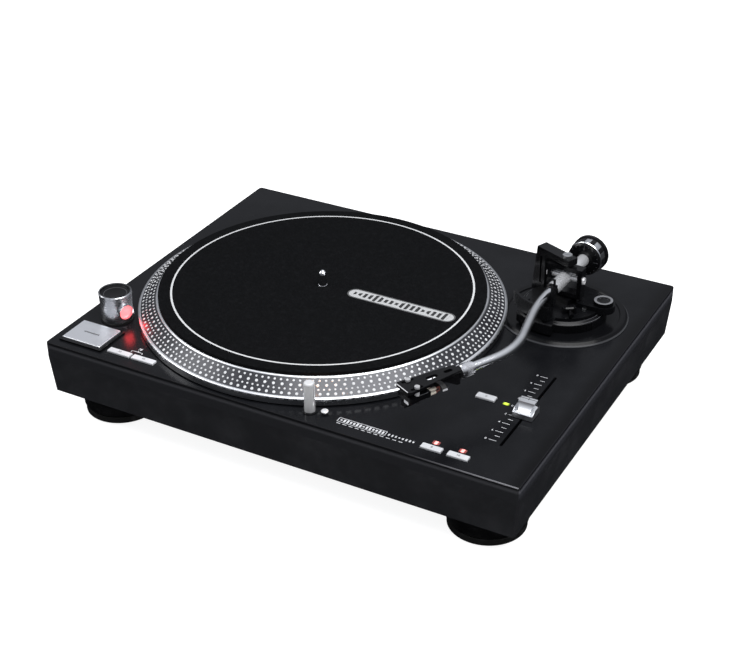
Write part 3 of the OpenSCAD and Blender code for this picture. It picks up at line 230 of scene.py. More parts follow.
class Graph:
    """The node tree of one material, written as expressions."""

    def __init__(self, name: str) -> None:
        """Makes a material with its shader.

        Args:
            name: The material's name.
        """
        self.material = bpy.data.materials.new(name)
        self.material.use_nodes = True
        self.tree = self.material.node_tree
        self.shader = self.tree.nodes["Principled BSDF"]

    def node(self, kind: str, settings: Optional[dict] = None, values: Optional[dict] = None,
             output: Union[str, int] = 0) -> Wire:
        """Adds one node.

        Args:
            kind: The node's type.
            settings: What is set on the node itself, before its sockets.
            values: A value or a wire for each input socket, by name or number.
            output: The output to give, by name or number.

        Returns:
            The wire of that output.
        """
        made = self.tree.nodes.new(kind)
        for key, value in (settings or {}).items():
            setattr(made, key, value)
        for key, value in (values or {}).items():
            self.join(value, made.inputs[key])
        return Wire(self, made.outputs[output])

    def join(self, value: object, socket: bpy.types.NodeSocket) -> None:
        """Links a wire to a socket, or sets a constant on it.

        Args:
            value: The wire or the constant.
            socket: The input socket.
        """
        if isinstance(value, Wire):
            self.tree.links.new(value.socket, socket)
        elif socket.type == "RGBA":
            socket.default_value = (*value, 1.0)
        else:
            socket.default_value = value

    def place(self) -> Wire:
        """Gives the piece's own coordinates."""
        return self.node("ShaderNodeTexCoord", output="Object")

    def seen_from(self, origin: Sequence[float], degrees: float = 0.0) -> Tuple[Wire, Wire, Wire]:
        """Gives x, y and z in millimetres from an origin, turned about +Z.

        Args:
            origin: The origin, in metres.
            degrees: The turn of the new x axis from +X.

        Returns:
            The three wires.
        """
        away = self.node("ShaderNodeVectorMath", {"operation": "SUBTRACT"},
                         {0: self.place(), 1: tuple(origin)})
        level = self.node("ShaderNodeVectorRotate", {"rotation_type": "Z_AXIS"},
                          {"Vector": away, "Angle": math.radians(-degrees)})
        split = self.node("ShaderNodeSeparateXYZ", values={0: level})
        return tuple(Wire(self, out) * 1000.0 for out in split.socket.node.outputs)

    def polar(self, centre: Sequence[float]) -> Tuple[Wire, Wire]:
        """Gives the distance from an upright axis and the height over its foot, in millimetres."""
        x, y, z = self.seen_from(centre)
        return (x * x + y * y).root(), z

    def noise(self, scale: float, detail: float = 3.0, roughness: float = 0.55,
              stretch: Optional[Point] = None) -> Wire:
        """Gives a noise pattern.

        Args:
            scale: Its scale, per metre.
            detail: Its detail.
            roughness: How strong the fine detail is.
            stretch: Scales along x, y and z.

        Returns:
            The wire, about 0 to 1.
        """
        at = self.place()
        if stretch:
            at = self.node("ShaderNodeMapping", values={"Vector": at, "Scale": stretch})
        return self.node("ShaderNodeTexNoise", values={
            "Vector": at, "Scale": scale, "Detail": detail, "Roughness": roughness})

    def turning(self, along: Wire, scale: float) -> Wire:
        """Gives the fine unevenness that a lathe leaves along a wire."""
        return self.node("ShaderNodeTexNoise", {"noise_dimensions": "1D"},
                         {"W": along, "Scale": scale, "Detail": 3.0})

    def cells(self, scale: float) -> Wire:
        """Gives the distance from the middles of small cells."""
        return self.node("ShaderNodeTexVoronoi", {"feature": "F1"}, {"Vector": self.place(), "Scale": scale})

    def mix(self, share: Union[Wire, float], low: Union[Wire, Colour], high: Union[Wire, Colour]) -> Wire:
        """Mixes two colours.

        Args:
            share: How much of high there is.
            low: The colour at 0.
            high: The colour at 1.

        Returns:
            The mixed colour.
        """
        return self.node("ShaderNodeMix", {"data_type": "RGBA"}, {0: share, 6: low, 7: high}, 2)

    def bump(self, height: Wire, distance: float) -> Wire:
        """Turns a height pattern into a normal, the height of 1 being a distance in metres."""
        return self.node("ShaderNodeBump", values={"Height": height, "Distance": distance, "Strength": 1.0})

    def dress(self, **values: object) -> bpy.types.Material:
        """Sets the shader's sockets, named with underscores for spaces.

        Args:
            values: A value or a wire for each socket.

        Returns:
            The finished material.
        """
        for key, value in values.items():
            self.join(value, self.shader.inputs[key.replace("_", " ")])
        return self.material


# ---------------------------------------------------------------- finishes

def lifted(colour: Colour, gain: float, lift: float = 0.0) -> Colour:
    """Gives a colour times a gain, plus a lift."""
    return tuple(c * gain + lift for c in colour)


@dataclass(frozen=True)
class Paint:
    """Stoved paint with a fine grain and faint handling marks."""

    name: str
    colour: Colour
    roughness: float
    grain: float = 2400.0
    height: float = 0.00001
    coat: float = 0.0
    shine: float = 0.2

    def material(self) -> bpy.types.Material:
        """Builds the paint's material.

        Returns:
            The material.
        """
        g = Graph(self.name)
        fine, broad = g.noise(self.grain, 2.0), g.noise(22.0, 4.0, 0.6)
        wear_and_highlight = lifted(self.colour, 1.35, 0.002)
        return g.dress(Base_Color=g.mix(broad.ramp(0.35, 0.75), self.colour, wear_and_highlight),
                       Roughness=self.roughness + (broad - 0.5) * 0.10 + (fine - 0.5) * 0.06,
                       Normal=g.bump(fine, self.height), Coat_Weight=self.coat, Coat_Roughness=0.08,
                       Specular_IOR_Level=self.shine)


@dataclass(frozen=True)
class DeckPaint:
    """Semi-gloss deck paint: plain walls with painted light and shade and a soft painted highlight line below
    the rounded edge, and painted shade on the top near its right edge.
    """

    plan: Plan
    name: str = "deck_black"
    colour: Colour = (0.0034, 0.0036, 0.0044)
    wall: Colour = (0.0094, 0.0098, 0.0115)
    side_light_fade: Tuple[float, float] = (-13.0, -7.0)
    dark_reflection_at: float = -2.3
    highlight_line_at: float = -4.3
    highlight_line_w: float = 2.2
    rim_highlight_at: float = -0.75
    rim_highlight_l: float = 110.0
    skin: float = 0.8

    def walls(self, g: Graph, x: Wire, z: Wire, right: Wire) -> Wire:
        """Colours the walls and paints light and shade on them: the right wall lighter towards the top, a
        painted dark reflection along the top edge, a painted highlight line below it and a painted highlight
        along the top of the front and back walls near the right end.

        Args:
            g: The material's graph.
            x: The distance right of the deck's middle.
            z: The height over the deck's top.
            right: The mask of the right wall.

        Returns:
            The walls' colour.
        """
        # Painted light: the right wall grows lighter towards its top.
        side = g.mix(right * z.ramp(*self.side_light_fade), self.wall, (0.019, 0.0195, 0.024))
        # Painted dark reflection: a dark band along the top of every wall.
        side = g.mix((z > self.dark_reflection_at) * 0.8, side, (0.0015, 0.0015, 0.002))
        # Painted highlight: a soft light line below the edge, brighter on the right wall.
        highlight_line = (1.0 - abs(z - self.highlight_line_at) / self.highlight_line_w).most(0.0)
        side = g.mix(highlight_line, side, g.mix(right, (0.026, 0.0265, 0.03), (0.055, 0.056, 0.064)))
        # Painted highlight: a bright line along the top of the front and back walls near the right end.
        rim = (z > self.rim_highlight_at) * (1.0 - right) * x.ramp(self.plan.half_x - self.rim_highlight_l, self.plan.half_x)
        return g.mix(rim, side, (0.13, 0.13, 0.14))

    def material(self) -> bpy.types.Material:
        """Builds the deck's material.

        Returns:
            The material.
        """
        g = Graph(self.name)
        x, y, z = g.seen_from(self.plan.top)
        far, wide = self.plan.half_x - self.skin, self.plan.half_y - self.skin
        fine, broad = g.noise(3200.0, 2.0), g.noise(22.0, 4.0, 0.6)
        wall = (abs(x) > far).most(abs(y) > wide)
        top = g.mix(broad.ramp(0.35, 0.75), self.colour, lifted(self.colour, 1.3, 0.0012))
        # Painted shade: the top darkens towards its right edge.
        shade = x.ramp(self.plan.half_x - 16.0, self.plan.half_x - 2.0) * 0.75
        top = g.mix(shade, top, (0.0008, 0.0008, 0.001))
        return g.dress(Base_Color=g.mix(wall, top, self.walls(g, x, z, x > far)),
                       Roughness=0.21 + wall * 0.24 + (broad - 0.5) * 0.06 + (fine - 0.5) * 0.05,
                       Normal=g.bump(fine, 0.00002), Specular_IOR_Level=0.11)


@dataclass(frozen=True)
class Tipped:
    """A piece whose one end is finished in another colour, along an arm's own axes."""

    name: str
    axes: Axes
    along: Point
    start: float
    body: Colour
    tip: Colour
    roughness: float

    def material(self) -> bpy.types.Material:
        """Builds the two-tone material.

        Returns:
            The material.
        """
        g = Graph(self.name)
        u, v, w = g.seen_from(self.axes.origin, self.axes.degrees)
        reach = u * self.along[0] + v * self.along[1] + w * self.along[2]
        far = reach.ramp(self.start - 0.15, self.start + 0.15)
        soil = g.noise(900.0)
        return g.dress(Base_Color=g.mix(far, self.body, self.tip),
                       Roughness=self.roughness + (soil - 0.5) * 0.12,
                       Normal=g.bump(soil, 0.000015), Specular_IOR_Level=0.2)


@dataclass(frozen=True)
class Moulding:
    """Moulded plastic with a spark-eroded grain."""

    name: str
    colour: Colour
    roughness: float
    grain: float = 1500.0
    height: float = 0.00006
    shine: float = 0.2

    def material(self) -> bpy.types.Material:
        """Builds the plastic's material.

        Returns:
            The material.
        """
        g = Graph(self.name)
        soil = g.noise(30.0, 5.0, 0.65)
        return g.dress(Base_Color=g.mix(soil.ramp(0.4, 0.8), self.colour, lifted(self.colour, 1.5, 0.004)),
                       Roughness=self.roughness + (soil - 0.5) * 0.16,
                       Normal=g.bump(g.cells(self.grain), self.height), Specular_IOR_Level=self.shine)


class Lay(Enum):
    """Which way a metal's fine brushing runs."""

    ALONG_X = (6.0, 900.0, 900.0)
    AROUND_Z = (60.0, 60.0, 2400.0)
    NONE = (500.0, 500.0, 500.0)


@dataclass(frozen=True)
class Metal:
    """Plated or anodised metal with a directional polish."""

    name: str
    colour: Colour
    roughness: float
    lay: Lay
    depth: float
    spread: float
    metallic: float = 1.0

    def material(self) -> bpy.types.Material:
        """Builds the metal's material.

        Returns:
            The material.
        """
        g = Graph(self.name)
        brushed, cloud = g.noise(1.0, 3.0, 0.6, stretch=self.lay.value), g.noise(35.0, 4.0)
        return g.dress(Base_Color=g.mix(cloud.ramp(0.45, 0.8), self.colour, lifted(self.colour, 0.82)),
                       Metallic=self.metallic, Normal=g.bump(brushed, self.depth),
                       Roughness=self.roughness + (brushed - 0.5) * self.spread + (cloud - 0.5) * 0.05)


@dataclass(frozen=True)
class Glow:
    """A lit lens with a hotter middle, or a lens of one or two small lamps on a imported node."""

    name: str
    colour: Colour
    strength: float
    heat: float
    node: str = ""
    pitch: float = 0.0
    lit_l: float = 1.9

    def material(self) -> bpy.types.Material:
        """Builds the lens's material.

        Returns:
            The material.
        """
        g = Graph(self.name)
        facets = g.cells(1400.0)
        lit = g.mix(facets.ramp(0.1, 0.7), lifted(self.colour, 1.0 - self.heat, self.heat), self.colour)
        if self.node:
            away = abs(abs(g.seen_from(middle(self.node))[0]) - self.pitch / 2)
            lit = g.mix((1.0 - away / self.lit_l).most(0.0).ramp(0.05, 0.6), lifted(self.colour, 0.12), lit)
        return g.dress(Base_Color=lit, Emission_Color=lit, Emission_Strength=self.strength,
                       Roughness=0.22, Normal=g.bump(facets, 0.00005))


@dataclass(frozen=True)
class Rubber:
    """Dull black rubber with a bloom."""

    name: str = "tread_rubber"

    def material(self) -> bpy.types.Material:
        """Builds the rubber's material.

        Returns:
            The material.
        """
        g = Graph(self.name)
        bloom = g.noise(90.0, 6.0, 0.7)
        return g.dress(Base_Color=g.mix(bloom.ramp(0.45, 0.8), (0.004, 0.004, 0.004), (0.015, 0.015, 0.016)),
                       Roughness=0.62 + bloom * 0.25, Normal=g.bump(g.noise(1800.0), 0.00005),
                       Specular_IOR_Level=0.15)


@dataclass(frozen=True)
class CircuitBoard:
    """Green board with tracks and pads."""

    name: str = "circuit_board"

    def material(self) -> bpy.types.Material:
        """Builds the board's material.

        Returns:
            The material.
        """
        g = Graph(self.name)
        x, y, _ = g.seen_from((0, 0, 0))
        tracks = (x.cycle(5.08) < 1.1).most((y.cycle(7.62) < 0.9) * (x.cycle(20.32) < 12.0))
        pads = g.cells(180.0) < 0.16
        board = g.mix(tracks, (0.006, 0.085, 0.03), (0.02, 0.17, 0.06))
        return g.dress(Base_Color=g.mix(pads, board, (0.6, 0.58, 0.5)), Metallic=pads,
                       Roughness=0.35, Normal=g.bump(tracks, 0.00004))


@dataclass(frozen=True)
class PlatterMetal:
    """Cast platter: a dark strobe band between bright turned rims."""

    centre: Vector
    name: str = "platter_metal"
    band_in: float = 149.6
    band_out: float = 163.6
    band_low: float = -13.1

    def material(self) -> bpy.types.Material:
        """Builds the platter's material.

        Returns:
            The material.
        """
        g = Graph(self.name)
        r, z = g.polar(self.centre)
        band = (r > self.band_in) * (r < self.band_out) * (z > self.band_low)
        lines = g.turning(r, 5.0)
        metal = g.mix(g.noise(40.0, 4.0).ramp(0.4, 0.8), (0.62, 0.63, 0.65), (0.5, 0.51, 0.53))
        dark = g.mix(lines, (0.012, 0.0125, 0.015), (0.042, 0.0435, 0.05))
        return g.dress(Base_Color=g.mix(band, metal, dark), Metallic=1.0 - band * 0.55,
                       Roughness=0.24 + band * 0.02 + (lines - 0.5) * 0.08, Normal=g.bump(lines, 0.00001))


@dataclass(frozen=True)
class Felt:
    """Black felt with a printed white ring and a plain level-bar badge."""

    centre: Vector
    name: str = "mat_felt"
    ring_r: float = 135.6
    ring_w: float = 0.85
    badge_at: Point = (79.0, -0.2, 0.0)
    badge_l: float = 52.5
    badge_h: float = 7.7
    badge_rim: float = 1.4

    def badge(self, g: Graph) -> Wire:
        """Draws the badge: a light pill with a row of dark level bars.

        Args:
            g: The material's graph.

        Returns:
            How strongly each point is printed.
        """
        u, v, _ = g.seen_from(self.centre + Vector(self.badge_at) * MM)
        along = abs(u)
        reach = (along - (self.badge_l - self.badge_h)).most(0.0)
        edge = (reach * reach + v * v).root()
        core = edge < self.badge_h - self.badge_rim
        tall = (0.62 + (u * 0.19).sine() * 0.22 + (u * 0.47).sine() * 0.14) * (self.badge_h - 1.9)
        bar = ((u + 2.6).cycle(5.2) > 2.2) * (abs(v) < tall) * (along < self.badge_l - 6.0)
        return (edge < self.badge_h) * (0.17 + core * 0.57) * (1.0 - core * bar * 0.92)

    def material(self) -> bpy.types.Material:
        """Builds the felt's material.

        Returns:
            The material.
        """
        g = Graph(self.name)
        frayed = g.noise(2400.0, 3.0, 0.7)
        ring = abs(g.polar(self.centre)[0] - self.ring_r + (frayed - 0.5) * 0.3) < self.ring_w
        printed = ring.most(self.badge(g))
        fibres, tufts = g.noise(1300.0, 6.0, 0.75), g.noise(260.0, 5.0, 0.65)
        nap = g.mix(fibres.ramp(0.35, 0.75), (0.0014, 0.0015, 0.0017), (0.0062, 0.0065, 0.0073))
        nap = g.mix(tufts.ramp(0.45, 0.85) * 0.5, nap, (0.0085, 0.0088, 0.0098))
        white = g.mix(fibres.ramp(0.25, 0.55), (0.24, 0.245, 0.25), (0.46, 0.465, 0.47))
        return g.dress(Base_Color=g.mix(printed, nap, white), Roughness=0.92 - printed * 0.2,
                       Normal=g.bump(fibres * 0.6 + tufts * 0.6, 0.00022), Specular_IOR_Level=0.03)


@dataclass(frozen=True)
class WeightMetal:
    """Satin counterweight, its rear rim and its front face painted black."""

    axes: Axes
    name: str = "weight_metal"
    rim_from: float = -48.2
    face_from: float = -38.95
    face_in: float = 9.0

    def material(self) -> bpy.types.Material:
        """Builds the counterweight's material.

        Returns:
            The material.
        """
        g = Graph(self.name)
        u, v, w = g.seen_from(self.axes.origin, self.axes.degrees)
        lines = g.turning(u, 9.0)
        dark = (u < self.rim_from).most((u > self.face_from) * ((v * v + w * w).root() > self.face_in))
        return g.dress(Base_Color=g.mix(dark, (0.78, 0.79, 0.81), (0.003, 0.003, 0.0035)),
                       Metallic=1.0 - dark, Roughness=0.2 + dark * 0.12 + (lines - 0.5) * 0.08,
                       Normal=g.bump(lines, 0.000012), Specular_IOR_Level=0.12)


@dataclass(frozen=True)
class FlangePaint:
    """Black flange with a painted highlight along its outer edge."""

    centre: Vector
    name: str = "flange_black"
    edge: float = 56.5

    def material(self) -> bpy.types.Material:
        """Builds the flange's material.

        Returns:
            The material.
        """
        g = Graph(self.name)
        # Painted highlight: a lighter ring along the flange's outer edge.
        wear_and_highlight = g.polar(self.centre)[0].ramp(self.edge - 0.4, self.edge + 0.4)
        fine = g.noise(1900.0, 2.0)
        return g.dress(Base_Color=g.mix(wear_and_highlight, (0.0026, 0.0027, 0.0032), (0.034, 0.035, 0.038)),
                       Roughness=0.2 + (fine - 0.5) * 0.08, Normal=g.bump(fine, 0.00002),
                       Specular_IOR_Level=0.12)


@dataclass(frozen=True)
class Windings:
    """Varnished copper coils on dark laminations."""

    centre: Vector
    name: str = "stator_windings"
    coil_in: float = 21.5
    coil_out: float = 34.5

    def material(self) -> bpy.types.Material:
        """Builds the stator's material.

        Returns:
            The material.
        """
        g = Graph(self.name)
        r, _ = g.polar(self.centre)
        coil = (r > self.coil_in) * (r < self.coil_out)
        turns = abs(r.cycle(0.9) * 1.11 - 0.5)
        return g.dress(Base_Color=g.mix(coil, (0.06, 0.058, 0.055), (0.62, 0.24, 0.09)),
                       Metallic=0.4 + coil * 0.5, Roughness=0.42, Normal=g.bump(turns * coil, 0.0003))


@dataclass
class Palette:
    """Every finish of the deck, made once."""

    plan: Plan
    made: Dict[str, bpy.types.Material] = field(default_factory=dict)

    def build(self) -> None:
        """Makes the materials."""
        centre, head = self.plan.spindle, self.plan.head
        blued, steel = (0.01, 0.01, 0.011), (0.26, 0.262, 0.27)
        black, grey = (0.0018, 0.0018, 0.002), (0.22, 0.22, 0.23)
        low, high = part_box("led_red")
        lamps = (high.x - low.x) / MM - 6.0
        for finish in (
            DeckPaint(self.plan),
            Moulding("case_black", (0.0082, 0.0085, 0.01), 0.46, 1300.0, 0.00007, 0.13),
            Moulding("foot_black", (0.0006, 0.0006, 0.0009), 0.42, 1800.0, 0.00004, 0.1),
            Paint("gloss_black", (0.0016, 0.0016, 0.002), 0.14, coat=0.05, shine=0.16),
            Paint("arm_black", (0.0014, 0.0014, 0.0018), 0.2, 2600.0, 0.000015, 0.05),
            Paint("base_black", (0.0024, 0.0025, 0.003), 0.26, 1900.0, 0.00003, shine=0.15),
            Paint("cap_silver", (0.4, 0.405, 0.42), 0.3, shine=0.5),
            Paint("rim_grey", (0.11, 0.112, 0.12), 0.3, shine=0.4),
            Paint("dot_metal", (0.42, 0.425, 0.435), 0.4, shine=0.3),
            Metal("button_silver", (0.8, 0.81, 0.84), 0.4, Lay.ALONG_X, 0.000012, 0.16),
            Metal("slider_silver", (0.84, 0.85, 0.87), 0.34, Lay.ALONG_X, 0.00001, 0.14),
            Metal("tower_silver", (0.66, 0.67, 0.7), 0.27, Lay.AROUND_Z, 0.00001, 0.12),
            Metal("bright_chrome", (0.84, 0.84, 0.86), 0.1, Lay.NONE, 0.000003, 0.06),
            Metal("tube_chrome", (0.82, 0.83, 0.85), 0.16, Lay.NONE, 0.000004, 0.08),
            Metal("barrel_silver", (0.5, 0.505, 0.52), 0.26, Lay.NONE, 0.000006, 0.08, 0.55),
            Metal("lamp_silver", (0.8, 0.8, 0.81), 0.2, Lay.NONE, 0.000004, 0.06, 0.6),
            Metal("screw_zinc", (0.6, 0.61, 0.62), 0.3, Lay.NONE, 0.00001, 0.12),
            Metal("bearing_brass", (0.7, 0.5, 0.22), 0.26, Lay.AROUND_Z, 0.00001, 0.12),
            Metal("gold_plate", (0.85, 0.62, 0.26), 0.2, Lay.NONE, 0.000006, 0.1),
            Metal("core_iron", (0.16, 0.15, 0.14), 0.5, Lay.NONE, 0.00005, 0.2),
            Metal("bright_rim", (0.7, 0.71, 0.73), 0.34, Lay.AROUND_Z, 0.000006, 0.08),
            Glow("lamp_amber", (1.0, 0.42, 0.12), 45.0, 0.2),
            Glow("window_red", (1.0, 0.13, 0.14), 2.3, 0.03),
            Glow("light_green", (0.4, 0.56, 0.03), 0.6, 0.05, "led_green", 0.0, 3.0),
            Glow("light_red", (1.0, 0.24, 0.22), 1.3, 0.2, "led_red", lamps),
            Moulding("print_white", (0.44, 0.445, 0.46), 0.55, 2500.0, 0.00001),
            Moulding("print_grey", (0.045, 0.046, 0.05), 0.55, 2500.0, 0.00001),
            Moulding("print_dark", (0.02, 0.02, 0.022), 0.5, 2500.0, 0.00001),
            Moulding("switch_white", (0.75, 0.75, 0.74), 0.4),
            Moulding("socket_red", (0.5, 0.02, 0.02), 0.35),
            Tipped("lead_sleeves", head, (1.0, 0.0, 0.0), 26.6, (0.1, 0.025, 0.018), (0.5, 0.46, 0.4), 0.35),
            Tipped("shell_screws", head, (0.0, 0.0, 1.0), -2.4, blued, steel, 0.3),
            Tipped("lift_black", head, (0.0, 1.0, 0.0), 17.6, black, grey, 0.3),
            Rubber(), CircuitBoard(), PlatterMetal(centre), Felt(centre), WeightMetal(self.plan.arm),
            Windings(centre), FlangePaint(self.plan.pivot),
        ):
            self.made[finish.name] = finish.material()
        LOG.info("%d finishes", len(self.made))

    def __getitem__(self, name: str) -> bpy.types.Material:
        """Gives a material by its finish's name."""
        return self.made[name]


# ---------------------------------------------------------------- bench

def started(add: Callable[..., set], **settings: object) -> Piece:
    """Adds a primitive on the cleared bench and gives it."""
    bpy.ops.object.select_all(action="DESELECT")
    add(**{"location": (0, 0, 0), **settings})
    return bpy.context.object


def pick(piece: Piece, wanted: Callable[[bpy.types.MeshPolygon], bool]) -> None:
    """Selects the faces that are wanted, then enters edit mode in face selection.

    Args:
        piece: The piece, in object mode.
        wanted: Says of a face whether it is selected.
    """
    only(piece)
    bpy.ops.object.mode_set(mode="EDIT")
    bpy.ops.mesh.select_mode(type="FACE")
    bpy.ops.mesh.select_all(action="DESELECT")
    bpy.ops.object.mode_set(mode="OBJECT")
    for face in piece.data.polygons:
        face.select = wanted(face)
    bpy.ops.object.mode_set(mode="EDIT")


def only(*pieces: Piece) -> None:
    """Leaves the given pieces as the only selected ones, the first of them active."""
    bpy.ops.object.select_all(action="DESELECT")
    for piece in pieces:
        piece.select_set(True)
    bpy.context.view_layer.objects.active = pieces[0]


def place(piece: Piece, matrix: Matrix) -> Piece:
    """Moves a piece's mesh by a matrix and gives the piece."""
    piece.data.transform(matrix)
    return piece


def block(size: Point, at: Sequence[float] = (0, 0, 0), bevel: float = 0.0, segments: int = 2) -> Piece:
    """Models a block with softened edges.

    Args:
        size: Its size along x, y and z, in millimetres.
        at: Its middle, in metres.
        bevel: The width of its edge bevels, in millimetres.
        segments: The bevels' segments.

    Returns:
        The block.
    """
    made = started(bpy.ops.mesh.primitive_cube_add, size=1.0)
    bpy.ops.object.mode_set(mode="EDIT")
    bpy.ops.mesh.select_all(action="SELECT")
    bpy.ops.transform.resize(value=tuple(s * MM for s in size))
    bpy.ops.mesh.bevel(offset=bevel * MM, segments=segments, profile=0.6)
    bpy.ops.transform.translate(value=tuple(at))
    bpy.ops.object.mode_set(mode="OBJECT")
    return made


def disc(radius: float, height: float, sides: int) -> Piece:
    """Models a plain upright disc round the origin, its sizes in millimetres."""
    return started(bpy.ops.mesh.primitive_cylinder_add, vertices=sides, radius=radius * MM, depth=height * MM)


def dished(piece: Piece, inset: float, lift: float) -> Piece:
    """Insets a piece's top and lifts or sinks what is inside, in millimetres.

    Args:
        piece: The piece.
        inset: The width of the rim that stays.
        lift: How far the inner part is lifted.

    Returns:
        The piece.
    """
    pick(piece, lambda face: face.normal.z > 0.9)
    bpy.ops.mesh.inset(thickness=inset * MM)
    bpy.ops.transform.translate(value=(0, 0, lift * MM))
    bpy.ops.object.mode_set(mode="OBJECT")
    return piece


def screw(radius: float, height: float, sides: int, bevel: float, inset: float, lift: float) -> Piece:
    """Models a screw's head: a disc with softened rims and a stepped top.

    Args:
        radius: Its radius, in millimetres.
        height: Its height.
        sides: Its number of sides.
        bevel: The width of its rim bevels.
        inset: The width of the top's rim.
        lift: How far the top's inner part is lifted.

    Returns:
        The head.
    """
    made = disc(radius, height, sides)
    pick(made, lambda face: abs(face.normal.z) > 0.9)
    bpy.ops.mesh.bevel(offset=bevel * MM, segments=2, profile=0.6)
    bpy.ops.object.mode_set(mode="OBJECT")
    return dished(made, inset, lift)


def spun(profile: Sequence[Tuple[float, float]], at: Sequence[float] = (0, 0, 0), steps: int = 96) -> Piece:
    """Models a turned piece: its profile is drawn point by point and spun about an upright axis.

    Args:
        profile: The closed profile's radii and heights, in millimetres.
        at: The axis's foot, in metres.
        steps: The number of steps round.

    Returns:
        The turned piece.
    """
    made = started(bpy.ops.mesh.primitive_plane_add, size=MM)
    bpy.ops.object.mode_set(mode="EDIT")
    bpy.ops.mesh.select_mode(type="VERT")
    bpy.ops.mesh.select_all(action="SELECT")
    bpy.ops.mesh.merge(type="CENTER")
    points = [Vector((r, 0, z)) * MM for r, z in [*profile, profile[0]]]
    bpy.ops.transform.translate(value=points[0])
    for before, after in zip(points, points[1:]):
        bpy.ops.mesh.extrude_vertices_move(TRANSFORM_OT_translate={"value": after - before})
    bpy.ops.mesh.select_all(action="SELECT")
    bpy.ops.mesh.remove_doubles(threshold=1e-6)
    bpy.ops.mesh.select_all(action="SELECT")
    bpy.ops.mesh.spin(steps=steps, angle=2 * math.pi, center=(0, 0, 0), axis=(0, 0, 1))
    bpy.ops.mesh.select_all(action="SELECT")
    bpy.ops.mesh.remove_doubles(threshold=2e-6)
    bpy.ops.mesh.normals_make_consistent(inside=False)
    bpy.ops.object.mode_set(mode="OBJECT")
    return place(made, Matrix.Translation(Vector(at)))


def twin(piece: Piece, matrix: Matrix) -> Piece:
    """Copies a piece with its own mesh, moved by a matrix.

    Args:
        piece: What is copied.
        matrix: Where the copy goes, from the piece's place.

    Returns:
        The copy.
    """
    made = piece.copy()
    made.data = piece.data.copy()
    bpy.context.scene.collection.objects.link(made)
    return place(made, matrix)


def joined(pieces: Sequence[Piece]) -> Piece:
    """Joins pieces into the first one and gives it."""
    only(*pieces)
    bpy.ops.object.join()
    return bpy.context.object


def marked(words: str, height: float, matrix: Matrix, depth: float = INK, bold: float = 0.0) -> Piece:
    """Models a numeral or plain mark as thin raised print.

    Args:
        words: The numeral.
        height: Its height, in millimetres.
        matrix: Its place: x along the line, y up the numeral, z out of the surface.
        depth: Its thickness, in millimetres.
        bold: How far its outline grows, in millimetres.

    Returns:
        The print's mesh.
    """
    text = started(bpy.ops.object.text_add).data
    text.body = words
    text.align_x, text.align_y = "CENTER", "CENTER"
    text.size, text.extrude, text.offset = height * MM * 1.4, depth * MM / 2, bold * MM
    text.resolution_u = 3
    bpy.ops.object.convert(target="MESH")
    return place(bpy.context.object, matrix)


def stamped(words: str, height: float, at: Vector) -> Piece:
    """Prints a numeral on a level face, its foot at a point of the face."""
    return marked(words, height, Matrix.Translation(shifted(at, z=INK / 2)))


def ruled(width: float, depth: float, at: Vector) -> Piece:
    """Prints one line on a level face, round a point of the face."""
    return block((width, depth, INK), shifted(at, z=INK / 2), 0.01, 1)


def rounded(piece: Piece, degrees: float = 35.0) -> Piece:
    """Smooths the piece's shading except across sharp edges and gives the piece."""
    only(piece)
    bpy.ops.object.shade_smooth_by_angle(angle=math.radians(degrees))
    return piece


# ---------------------------------------------------------------- sub-assemblies

@dataclass
class Assembly:
    """A sub-assembly of the deck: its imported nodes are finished, then the pieces on them are made."""

    plan: Plan
    palette: Palette
    finishes: ClassVar[Dict[str, Tuple[str, ...]]] = {}

    def dress(self) -> None:
        """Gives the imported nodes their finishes."""
        for finish, nodes in self.finishes.items():
            for node in nodes:
                slots = frame["nodes"][node].data.materials
                slots.clear()
                slots.append(self.palette[finish])
                LOG.info("%s is finished in %s", node, finish)

    def hand_over(self, piece: Piece, name: str, body: str, finish: str, slot: str,
                  replaces: Iterable[str] = ()) -> Piece:
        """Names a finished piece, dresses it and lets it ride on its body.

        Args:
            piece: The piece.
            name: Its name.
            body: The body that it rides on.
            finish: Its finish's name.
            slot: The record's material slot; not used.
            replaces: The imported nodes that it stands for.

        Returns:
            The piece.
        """
        piece.name = piece.data.name = name
        piece.data.materials.append(self.palette[finish])
        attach(piece, body)
        if replaces:
            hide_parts(*replaces)
        LOG.info("%s rides on %s, %d faces", name, body, len(piece.data.polygons))
        return piece


